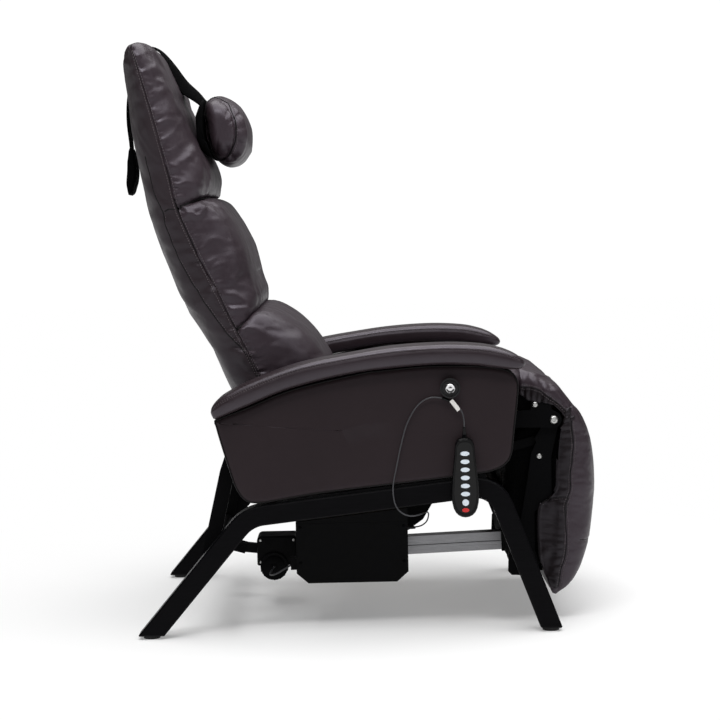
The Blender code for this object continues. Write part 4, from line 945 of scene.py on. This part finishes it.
P, yy, zz = slab([(-0.093, 0.377), (0.12, 0.411), (0.33, 0.445)],
                 [(-0.09, 0.426), (-0.05, 0.436), (0.0, 0.44), (0.12, 0.466), (0.23, 0.507),
                  (0.3, 0.526), (0.34, 0.522)], -0.26, 0.26, 90, 150, 7.0, 3.0, 0.03, 0.05)
seat_skin = Skin(P)
edge_y = 0.26 - np.abs(P[..., 1])
top_side = np.clip(zz, 0, 1)[None, :]
h = 0.004 * top_side * np.cos(np.clip(P[..., 1] / 0.26, -1, 1) * math.pi / 2)
h += puckers(P, np.abs(edge_y), 31.0, 0.035, 0.045, 0.0016, 0) * top_side
h -= 0.006 * np.exp(-(((P[..., 0] - 0.205) / 0.01) ** 2)) * top_side
h += puckers(P, np.abs(P[..., 0] - 0.205), 37.0, 0.04, 0.04, 0.002, 1) * top_side
h += creases(P, (8.0, 8.0, 8.0), 33.0, 0.002) * top_side
held = np.clip(1 - top_side * 1.5, 0, 1) + np.exp(-(((P[..., 0] - 0.205) / 0.006) ** 2))
held = np.clip(held, 0, 1)
held[:3] = held[-3:] = 1
h += settle(P, held) * top_side
seat_skin.raise_by(h - 0.004 * top_side)
seat = new_object("seat_cushion_cover", seat_skin.mesh("seat"), leather, "seat",
                  ("seat_cushion",))
lines = []
for x in (0.2, 0.21):
    row = float(np.interp(x, seat_skin.points[:, 37, 0], np.arange(90)))
    lines.append(line_on(seat_skin, [(row, c) for c in range(12, 64, 2)], 160))
stitches("seat_channel_stitches", lines, thread, "seat")

LEG_HALF = 0.258
LEG_OUT = [
    (0.445, 0.448), (0.459, 0.432), (0.47, 0.412), (0.479, 0.39), (0.4855, 0.364), (0.489, 0.3344),
    (0.4897, 0.2949), (0.4885, 0.2553), (0.485, 0.2118), (0.478, 0.1682), (0.4677, 0.1286),
    (0.452, 0.093), (0.432, 0.065), (0.408, 0.0525)]
LEG_IN = [
    (0.426, 0.442), (0.425, 0.425), (0.421, 0.41), (0.4135, 0.3983), (0.407, 0.3596), (0.405, 0.3129),
    (0.4027, 0.279), (0.388, 0.26), (0.37, 0.248), (0.364, 0.2242), (0.364, 0.1654), (0.369, 0.124),
    (0.38, 0.087), (0.396, 0.058)]
LEG_SEAM = [
    (0.4385, 0.4171), (0.441, 0.3783), (0.4391, 0.3395), (0.4348, 0.3006), (0.4312, 0.2578),
    (0.4267, 0.2032), (0.4221, 0.1445), (0.4139, 0.1055), (0.408, 0.0702)]


def side_face(P):
    return ramp(np.abs(P[..., 1]), 0.236, 0.252)


def leg_bump(P):
    seam_x_ = np.interp(P[..., 2], [p[1] for p in LEG_SEAM[::-1]], [p[0] for p in LEG_SEAM[::-1]])
    off = P[..., 0] - seam_x_
    face = side_face(P)
    gusset = face * ramp(-off, 0.0, 0.006)
    h = -0.0018 * np.exp(-((off / 0.0032) ** 2)) * face
    h += puckers(P, np.abs(off), 41.0, 0.017, 0.022, 0.006) * gusset
    h += puckers(P, np.abs(off), 42.0, 0.03, 0.016, 0.0026) * face * (1 - gusset)
    h -= 0.005 * gusset * ramp(-off, 0.01, 0.03)
    cross = np.abs(P[..., 2] - (0.26 + 0.1 * (P[..., 0] - 0.43)))
    h -= 0.002 * np.exp(-((cross / 0.0034) ** 2)) * gusset
    h += puckers(P, cross, 44.0, 0.02, 0.028, 0.007, 0) * gusset
    front = ramp(P[..., 0], 0.43, 0.46)
    h -= 0.0016 * np.exp(-(((P[..., 2] - 0.165) / 0.0035) ** 2)) * front
    h += creases(P, (7.0, 4.0, 7.0), 47.0, 0.0016) * front
    h += 0.003 * creases(P, (16.0, 6.0, 9.0), 49.0, 1.0, 2.0) * gusset
    return h - 0.001


P = puff(LEG_IN, LEG_OUT, LEG_HALF, 150, COLS, 14.0, 3.6, (0.0, 0.016), 0.05)
held = np.zeros(P.shape[:2])
held[:, :2] = held[:, COLS - 2:] = 1
held[:1] = held[-1:] = 1
seam_x_ = np.interp(P[..., 2], [p[1] for p in LEG_SEAM[::-1]], [p[0] for p in LEG_SEAM[::-1]])
held = np.maximum(held, np.exp(-(((P[..., 0] - seam_x_) / 0.004) ** 2)) * side_face(P))
leg, leg_skin = pad_piece("leg_rest_cushion", P, COLS, ("calf_pad", "foot_pad"), "legrest", leg_bump,
                          None, held)
# side and rear-facing faces behind the leg seam get the darker leather as painted shade of the gusset
leg.data.materials.append(gusset_painted_shade_leather)
for face in leg.data.polygons:
    x, y, z = face.center
    if (abs(y) > 0.245 or face.normal.x < -0.3) and x < np.interp(z, [p[1] for p in LEG_SEAM[::-1]],
                                                                   [p[0] for p in LEG_SEAM[::-1]]):
        face.material_index = 1
seam = skin_line(leg_skin, LEG_SEAM, COLS, 170)
welt("leg_rest_seam_line", seam, 0.0012, seam_shadow, "legrest")
rows = [(P + np.array((dx, 0, 0)) + N * 0.0016, N) for P, N in seam for dx in (-0.004, 0.004)]
stitches("leg_rest_seam_stitches", rows, thread, "legrest", 0.0052, 0.0005, 0.0005)
across = skin_line(leg_skin, [(0.372, 0.2545), (0.395, 0.257), (0.415, 0.259), (0.43, 0.26)], COLS, 50)
welt("leg_rest_cross_seam", across, 0.0011, seam_shadow, "legrest")
stitches("leg_rest_cross_stitches", [(P + np.array((0, 0, -0.0042)) + N * 0.0004, N) for P, N in across],
         thread, "legrest",
         0.0052, 0.00045)
front_row = float(np.interp(-0.165, -leg_skin.points[:, COLS // 2, 2], np.arange(150)))
welt("leg_rest_front_seam", [line_on(leg_skin, [(front_row, c) for c in range(16, COLS - 16, 2)], 150)],
     0.0009,
     seam_shadow, "legrest")

# black lining inside the leg rest: one curtain across the back of the cushion and along both sides
LINING_REAR = [
    (0.37, 0.418), (0.328, 0.395), (0.306, 0.36), (0.303, 0.305), (0.303, 0.24), (0.306, 0.175),
    (0.308, 0.142), (0.312, 0.118), (0.33, 0.104)]
LINING_HALF = 0.2345
rear = through(LINING_REAR, 64)
P = np.zeros((len(rear), 84, 3))
for row, (x, z) in enumerate(rear):
    front_x = float(np.interp(z, [0.1, 0.16, 0.24, 0.3, 0.42], [0.398, 0.388, 0.392, 0.415, 0.428]))
    across = [(front_x, -LINING_HALF), (x + 0.012, -LINING_HALF), (x, -LINING_HALF + 0.012),
              (x, LINING_HALF - 0.012), (x + 0.012, LINING_HALF), (front_x, LINING_HALF)]
    P[row, :, :2] = np.array(through_straight(across, 84))
    P[row, :, 2] = z
hang = (0.0022 * np.sin(P[..., 1] * 74 + 2.2 * np.sin(P[..., 2] * 31))
        + 0.0014 * np.sin(P[..., 0] * 160 + P[..., 2] * 23))
wing = ramp(np.abs(P[..., 1]), LINING_HALF - 0.012, LINING_HALF)
P[..., 0] += hang * (1 - wing)
P[..., 1] -= np.sign(P[..., 1]) * np.abs(hang) * wing
cols = P.shape[1]
faces = [(k * cols + c, k * cols + c + 1, (k + 1) * cols + c + 1, (k + 1) * cols + c)
         for k in range(len(rear) - 1) for c in range(cols - 1)]
lining = new_object("leg_rest_lining", mesh_of("leg_rest_lining", P.reshape(-1, 3), faces), pouch_cloth,
                    "legrest")
sheet = lining.modifiers.new("thickness", "SOLIDIFY")
sheet.thickness = 0.001

# black cloth closing the gap between the lumbar cushion and the back of the seat
WAIST = [(-0.09, 0.472), (-0.101, 0.44), (-0.108, 0.41), (-0.112, 0.385)]
drop = through(WAIST, 24)
cols = 61
verts = []
for x, z in drop:
    for k in range(cols):
        y = -0.236 + 0.472 * k / (cols - 1)
        verts.append((x + 0.0016 * math.sin(y * 90 + z * 12), y, z))
faces = [(r * cols + c, r * cols + c + 1, (r + 1) * cols + c + 1, (r + 1) * cols + c)
         for r in range(len(drop) - 1) for c in range(cols - 1)]
waist = new_object("waist_cloth", mesh_of("waist_cloth", verts, faces), pouch_cloth, "backrest")
sheet = waist.modifiers.new("thickness", "SOLIDIFY")
sheet.thickness = 0.001

# black cloth closing the corner between the seat and the apron
for side in (RIGHT, LEFT):
    y0, y1 = sorted((side * 0.2462, side * 0.2486))
    outline = [(0.3, 0.438), (0.356, 0.442), (0.356, 0.472), (0.34, 0.486), (0.3, 0.486)]
    verts = [(x, y, z) for y in (y0, y1) for x, z in outline]
    faces = [(0, 1, 2, 3, 4), (9, 8, 7, 6, 5)] + [(k, (k + 1) % 5, (k + 1) % 5 + 5,
                                                   k + 5) for k in range(5)]
    new_object("seat_corner_cloth_" + ("right" if side == RIGHT else "left"),
               mesh_of("seat_corner_cloth", verts, faces, False), pouch_cloth, "seat")
KNEE_OUT = [
    (0.334, 0.529), (0.354, 0.5255), (0.3713, 0.5185), (0.3944, 0.504), (0.4136, 0.488), (0.4328, 0.4665),
    (0.448, 0.4445), (0.456, 0.433)]
KNEE_IN = [
    (0.334, 0.477), (0.35, 0.462), (0.372, 0.456), (0.39, 0.453), (0.4029, 0.448), (0.415, 0.437),
    (0.426, 0.423), (0.433, 0.413)]
KNEE_SEAM = [
    (0.337, 0.49), (0.3555, 0.485), (0.3764, 0.477), (0.3992, 0.463), (0.4181, 0.447), (0.433, 0.429)]


def knee_bump(P):
    x = P[..., 0]
    seam_z = np.interp(x, [p[0] for p in KNEE_SEAM], [p[1] for p in KNEE_SEAM])
    off = P[..., 2] - seam_z
    face = side_face(P)
    hem = face * ramp(-off, 0.0, 0.004)
    h = -0.0018 * np.exp(-((off / 0.003) ** 2)) * face
    h += puckers(P, np.abs(off), 53.0, 0.013, 0.02, 0.01, 0) * hem
    h += puckers(P, np.abs(off), 54.0, 0.018, 0.022, 0.006, 0) * face * (1 - hem)
    h += creases(P, (14.0, 5.0, 14.0), 55.0, 0.0024)
    h -= 0.003 * np.exp(-(((x - 0.379) / 0.0035) ** 2)) * face * ramp(-off, -0.03, -0.01)
    return h - 0.001


P = puff(KNEE_IN, KNEE_OUT, LEG_HALF, 64, COLS, 14.0, 3.4, (0.0, 0.001))
knee, knee_skin = pad_piece("knee_apron", P, COLS, "knee_roll", None, knee_bump, slack=0.03)
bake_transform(knee)
# side faces below the knee seam get the darker leather as painted shade of the underside hem
knee.data.materials.append(gusset_painted_shade_leather)
for face in knee.data.polygons:
    x, y, z = face.center
    if abs(y) > 0.25 and z < np.interp(x, [p[0] for p in KNEE_SEAM], [p[1] for p in KNEE_SEAM]):
        face.material_index = 1
seam = skin_line(knee_skin, KNEE_SEAM, COLS, 90)
knee_line = welt("knee_seam_line", seam, 0.0011, seam_shadow, None)
rows = [(P + np.array((0, 0, dz)) + N * 0.0016, N) for P, N in seam for dz in (-0.004, 0.004)]
knee_stitch = stitches("knee_seam_stitches", rows, thread, None, 0.0052, 0.0005, 0.0005)
for obj in (knee_line, knee_stitch):
    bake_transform(obj)


# ---------------------------------------------------------------- arms
def inset(ring, amount):
    """A closed (x, z) ring moved inwards along its own normals."""
    t = np.roll(ring, -1, 0) - np.roll(ring, 1, 0)
    n = np.stack([t[:, 1], -t[:, 0]], 1)
    n /= np.linalg.norm(n, axis=1, keepdims=True)
    if ((ring - ring.mean(0)) * n).sum() > 0:
        n = -n
    return ring + n * amount


PANEL = [
    (-0.282, 0.444), (-0.22, 0.468), (-0.128, 0.503), (0.008, 0.5325), (0.048, 0.537), (0.139, 0.544),
    (0.231, 0.543), (0.29, 0.536), (0.313, 0.526), (0.3235, 0.508), (0.324, 0.484), (0.316, 0.415),
    (0.309, 0.362), (0.296, 0.341), (0.273, 0.329), (0.241, 0.3225), (0.186, 0.3165), (0.004, 0.2985),
    (-0.087, 0.2885), (-0.156, 0.278), (-0.195, 0.2725), (-0.225, 0.276), (-0.245, 0.299), (-0.26, 0.342),
    (-0.283, 0.425)]
PAD_LOW = [
    (-0.2925, 0.457), (-0.289, 0.449), (-0.28, 0.446), (-0.22, 0.4695), (-0.128, 0.5045), (0.008, 0.5335),
    (0.139, 0.5445), (0.231, 0.5425), (0.27, 0.5375), (0.305, 0.533), (0.323, 0.5325), (0.334, 0.5365),
    (0.3375, 0.542)]
PAD_TOP = [
    (-0.2928, 0.461), (-0.29, 0.471), (-0.28, 0.483), (-0.26, 0.4975), (-0.209, 0.5215), (-0.111, 0.5545),
    (0.009, 0.5755), (0.089, 0.585), (0.178, 0.5885), (0.248, 0.5845), (0.287, 0.5765), (0.312, 0.567),
    (0.327, 0.558), (0.335, 0.551), (0.3378, 0.545)]


def arm(side):
    name = "right" if side == RIGHT else "left"
    ring = through(PANEL, 260, closed=True)
    radius = 0.011
    y_out, y_in = side * 0.3475, side * 0.2885
    quarter = np.linspace(0, math.pi / 2, 8)
    profile = [(radius - math.cos(a) * radius, radius * (1 - math.sin(a))) for a in quarter]
    layers = [(y_out, 0.105)]
    layers += [(y_out - side * 0.0006 * k, radius + e)
               for k, e in ((0, 0.085), (0, 0.05), (0, 0.025), (0.4, 0.01))]
    layers += [(y_out - side * drop, r) for r, drop in reversed(profile)]
    layers += [(y_in + side * 0.004, 0.0), (y_in, 0.004), (y_in, 0.05), (y_in, 0.1)]
    seen = []
    for y, r in layers:
        flat = inset(ring, min(r, 0.012))
        if r > 0.012:
            middle_ = ring.mean(0)
            flat = middle_ + (flat - middle_) * (1 - (r - 0.012) / 0.115)
        seen.append(np.column_stack([flat[:, 0], np.full(len(flat), y), flat[:, 1]]))
    skin = Skin(np.array(seen))
    h = 0.0005 * field(skin.points, (5.0, 5.0, 5.0), 61.0)
    skin.raise_by(h)
    panel = new_object("arm_panel_cover_" + name, skin.mesh("panel_" + name), smooth_leather, "base",
                       ("arm_panel_" + name,))
    y0, y1 = sorted((side * 0.278, side * 0.374))
    P, yy, zz = slab(PAD_LOW, PAD_TOP, y0, y1, 190, 84, 6.0, 2.6, 0.05, 0.5)
    skin = Skin(P)
    h = 0.0008 * field(P, (7.0, 9.0, 9.0), 63.0) - 0.0006
    ends = np.minimum(np.arange(190), 189 - np.arange(190))[:, None] * 0.0034
    h = h + puckers(P, np.abs(zz[None, :] - 0.45) * 0.022 + 0 * P[..., 0], 65.0, 0.02, 0.012, 0.001,
                    0) * np.exp(-ends / 0.06)
    h -= 0.0012 * np.exp(-(((zz[None, :] - 0.45) * 0.022 / 0.0022) ** 2)) + 0 * P[..., 0]
    skin.raise_by(h)
    pad = new_object("arm_pad_cover_" + name, skin.mesh("pad_" + name), pad_leather, "base",
                     ("arm_pad_" + name,))
    lines = []
    for level in (0.36, 0.56):
        for left_half in (False, True):
            order = [c for c in range(84) if (yy[c] > 0) != left_half]
            order.sort(key=lambda c: abs(zz[c] - level))
            c = order[0]
            lines.append(line_on(skin, [(r, c) for r in np.linspace(4, 185, 44)], 240))
    stitches("arm_pad_stitches_" + name, lines, thread, "base", 0.0052, 0.00045)
    # the shadow line where pad meets panel, and the panel's edge welt
    edge = np.column_stack([inset(ring, 0.0026)[:, 0], np.full(len(ring), y_out - side * 0.003),
                            inset(ring, 0.0026)[:, 1]])
    tube("panel_welt_" + name, edge, 0.0016, seam_shadow, "base", 6, closed=True)


arm(RIGHT)
arm(LEFT)


# ---------------------------------------------------------------- CAD pieces that stay, with real finishes
def finish_node(name, mat, bevel=0.0):
    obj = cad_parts.get(name)
    if obj is None:
        return
    obj.data.materials.clear()
    obj.data.materials.append(mat)
    if bevel:
        b = obj.modifiers.new("edge", "BEVEL")
        b.width = bevel
        b.segments = 2
        b.limit_method = "ANGLE"
        b.angle_limit = math.radians(35)


for side in ("right", "left"):
    finish_node("side_frame_" + side, wood)
    finish_node("pivot_plate_" + side, steel)
    finish_node("push_rod_" + side, steel)
    for place in ("front", "rear"):
        finish_node(f"foot_{place}_{side}", rubber)
for name in ("front_cross_tube", "rear_cross_frame", "seat_frame", "drive_lever", "back_frame",
             "legrest_frame"):
    finish_node(name, steel)
finish_node("actuator_carriage", steel)
finish_node("control_box", box_paint, 0.0008)
finish_node("control_box_lid", box_paint, 0.0008)
finish_node("control_board", board_green)
finish_node("power_inlet", motor_black, 0.0006)
finish_node("actuator_motor", motor_black)
finish_node("actuator_rail", aluminium, 0.0006)
finish_node("rail_end_cap", motor_black, 0.001)
finish_node("remote_hook", rubber)
finish_node("remote_hook_cap", bright)
finish_node("seat_board", plywood)
for name in ("seat_vibration_motor", "upper_massage_motor", "lumbar_massage_motor"):
    finish_node(name, motor_black, 0.001)
finish_node("handset_case", case_grey)
finish_node("handset_face", gloss)
for name in list(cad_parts):
    if name.startswith("button_"):
        finish_node(name, button_red if name == "button_power" else icon_white, 0.0004)


# ---------------------------------------------------------------- small hardware
def socket_bolt(name, x, y, z, body, radius=0.0065, side=RIGHT, mat=zinc, height=0.0035):
    """A button-head bolt with a hexagon socket, seen end on along Y."""
    profile = [(radius, 0.0), (radius * 0.98, height * 0.35), (radius * 0.8, height * 0.8),
               (radius * 0.58, height),
               (radius * 0.46, height), (radius * 0.44, height * 0.45), (0.0, height * 0.45)]
    return turned(name, profile, (x, y, z), (0, side, 0), mat, body, 24)


def box_at(name, centre, along, length, width, depth, mat, body, edge=0.0006):
    """A small block lying along a direction in the (x, z) plane."""
    a = np.array((along[0], 0.0, along[1])) / math.hypot(*along)
    b = np.array((-a[2], 0.0, a[0]))
    c = np.array((0.0, 1.0, 0.0))
    verts = [np.array(centre) + a * i * length / 2 + b * j * width / 2 + c * k * depth / 2
             for i in (-1, 1) for j in (-1, 1) for k in (-1, 1)]
    faces = [(0, 1, 3, 2), (4, 6, 7, 5), (0, 4, 5, 1), (2, 3, 7, 6), (0, 2, 6, 4), (1, 5, 7, 3)]
    obj = new_object(name, mesh_of(name, verts, faces, False), mat, body)
    b_ = obj.modifiers.new("edge", "BEVEL")
    b_.width = edge
    b_.segments = 2
    return obj


HOOK = (0.186, 0.499)
HOOK_LIP_Y = -0.3609
HOOK_CAP_Y = -0.3673

# the cord's tag, the collar it hangs by, and the strain reliefs
tag_centre = (0.1952, -0.359, 0.4645)
box_at("cord_tag", tag_centre, (0.6, -0.8), 0.026, 0.0085, 0.0044, tag_white, "base")
near_hook = [p for p in remote_path if 0.168 < p[0] < 0.186 and p[2] > 0.46]
tube("cord_collar", near_hook, 0.003, case_grey, "base", 14)
relief = [
    (0.0026, 0.0225), (0.003, 0.018), (0.0027, 0.0172), (0.0034, 0.014), (0.0031, 0.0132), (0.0039, 0.01),
    (0.0036, 0.0092), (0.0045, 0.006), (0.0052, 0.0)]
turned("handset_strain_relief", relief, (0.2125, -0.363, 0.3985), (0, 0, 1), case_grey, "handset", 20)
turned("box_strain_relief", [(0.005, 0.0), (0.005, 0.003), (0.0034, 0.006), (0.003, 0.016),
                             (0.0016, 0.018)],
       (0.1003, -0.15, 0.185), (1, 0, 0), rubber, "base", 18)
# pivots and fixings of the linkage
for side in (RIGHT, LEFT):
    tail = "right" if side == RIGHT else "left"
    y = side * 0.2565
    socket_bolt("seat_bracket_bolt_a_" + tail, 0.364, y, 0.452, "seat", 0.006, side)
    socket_bolt("knee_pivot_nut_" + tail, 0.402, side * 0.257, 0.42, "seat", 0.009, side, height=0.006)
    socket_bolt("leg_plate_bolt_a_" + tail, 0.372, side * 0.2465, 0.344, "legrest", 0.006, side,
                height=0.004)
    socket_bolt("back_pivot_bolt_" + tail, -0.13, side * 0.257, 0.4, "seat", 0.008, side)
# screws on the control box and its vents
for k, (x, z) in enumerate(((-0.124, 0.2), (0.091, 0.2), (-0.124, 0.126), (0.091, 0.126))):
    socket_bolt(f"box_screw_{k}", x, -0.2152, z, "base", 0.0032, RIGHT, steel, 0.0012)
for k in range(5):
    box_at(f"box_vent_{k}", (-0.1337, -0.12 + 0.009 * k, 0.165), (0, 1), 0.03, 0.0012, 0.003, motor_black,
           "base", 0.0003)
# motor end bell: ribs, a screwed cap and the gear housing's screws
for k in range(7):
    a = math.radians(200 + 140 * k / 6)
    c = (-0.188 + math.cos(a) * 0.03, 0.0, 0.088 + math.sin(a) * 0.03)
    tube(f"motor_rib_{k}", [(c[0], -0.04, c[2]), (c[0], 0.0, c[2]), (c[0], 0.07, c[2])], 0.0016,
         motor_black, "base", 6)
turned("motor_end_cap", [(0.024, 0.0), (0.024, 0.002), (0.02, 0.0034), (0.007, 0.0034), (0.006, 0.0046),
                         (0.0, 0.0046)],
       (-0.188, -0.045, 0.088), (0, -1, 0), motor_black, "base", 36)
for k, (x, z) in enumerate(((-0.217, 0.144), (-0.145, 0.144), (-0.217, 0.096), (-0.145, 0.096))):
    socket_bolt(f"gear_screw_{k}", x, -0.0362, z, "base", 0.003, RIGHT, zinc, 0.0016)
# hook: ring lip and the dished bright cap
turned("hook_lip", [(0.02, 0.0), (0.0204, 0.0016), (0.0196, 0.003), (0.0176, 0.0034), (0.0166, 0.002),
                    (0.016, 0.0)],
       (HOOK[0], HOOK_LIP_Y, HOOK[1]), (0, -1, 0), rubber, "base", 48)
turned("hook_cap_dish", [(0.0088, 0.0), (0.0092, 0.001), (0.0084, 0.0018), (0.0062, 0.0008),
                         (0.0032, 0.001), (0.0, 0.0016)],
       (HOOK[0], HOOK_CAP_Y, HOOK[1]), (0, -1, 0), bright, "base", 40)

# ---------------------------------------------------------------- light and floor
def area(name, at, aim, size, power, colour=(1, 1, 1)):
    data = bpy.data.lights.new(name, "AREA")
    data.shape = "RECTANGLE"
    data.size, data.size_y = size
    data.energy = power
    data.color = colour
    obj = bpy.data.objects.new(name, data)
    obj.location = at
    obj.rotation_euler = (Vector(aim) - Vector(at)).to_track_quat("-Z", "Y").to_euler()
    bpy.context.scene.collection.objects.link(obj)


area("overhead", (0.3, 0.0, 3.4), (0.0, 0.0, 0.0), (4.5, 4.5), 200)
area("front_high", (-0.2, -2.2, 3.3), (-0.3, 0.0, 1.0), (1.8, 0.5), 46)
area("front_right", (2.9, -1.2, 1.9), (0.0, 0.0, 0.7), (0.9, 2.2), 5)
area("behind", (0.0, 3.4, 1.8), (0.0, 0.0, 0.5), (4.0, 2.4), 5)

world = bpy.data.worlds.new("studio")
world.use_nodes = True
tree = world.node_tree
tree.nodes.clear()
output = tree.nodes.new("ShaderNodeOutputWorld")
dim = tree.nodes.new("ShaderNodeBackground")
white = tree.nodes.new("ShaderNodeBackground")
dim.inputs["Color"].default_value = (1, 1, 1, 1)
dim.inputs["Strength"].default_value = 0.06
white.inputs["Strength"].default_value = 1.05
white.inputs["Color"].default_value = (1, 1, 1, 1)
mix = tree.nodes.new("ShaderNodeMixShader")
path_node = tree.nodes.new("ShaderNodeLightPath")
tree.links.new(path_node.outputs["Is Camera Ray"], mix.inputs["Fac"])
tree.links.new(dim.outputs["Background"], mix.inputs[1])
tree.links.new(white.outputs["Background"], mix.inputs[2])
tree.links.new(mix.outputs["Shader"], output.inputs["Surface"])
bpy.context.scene.world = world
bpy.context.scene.view_settings.view_transform = "Standard"

bm = bmesh.new()
bmesh.ops.create_grid(bm, x_segments=1, y_segments=1, size=14.0)
mesh = bpy.data.meshes.new("floor")
bm.to_mesh(mesh)
bm.free()
floor = bpy.data.objects.new("floor", mesh)
bpy.context.scene.collection.objects.link(floor)
floor.location.z = -0.0004
# white paper that runs out into an even white further away, like a lit backdrop
paper = Shader("studio_paper", (0.9, 0.9, 0.9), 0.9, Specular_IOR_Level=0.1)
paper.bump(paper.noise(300.0, 2.0), 0.05, 0.0002)
tree = paper.mat.node_tree
glow = tree.nodes.new("ShaderNodeEmission")
glow.inputs["Strength"].default_value = 1.0
blend = tree.nodes.new("ShaderNodeMixShader")
away = tree.nodes.new("ShaderNodeVectorMath")
away.operation = "LENGTH"
tree.links.new(paper.coords, away.inputs[0])
spread = tree.nodes.new("ShaderNodeMapRange")
spread.interpolation_type = "SMOOTHSTEP"
spread.inputs["From Min"].default_value = 0.45
spread.inputs["From Max"].default_value = 1.4
spread.inputs["To Min"].default_value = 0.28
tree.links.new(away.outputs["Value"], spread.inputs["Value"])
tree.links.new(spread.outputs["Result"], blend.inputs["Fac"])
tree.links.new(paper.bsdf.outputs["BSDF"], blend.inputs[1])
tree.links.new(glow.outputs["Emission"], blend.inputs[2])
tree.links.new(blend.outputs["Shader"], tree.nodes["Material Output"].inputs["Surface"])
mesh.materials.append(paper.mat)
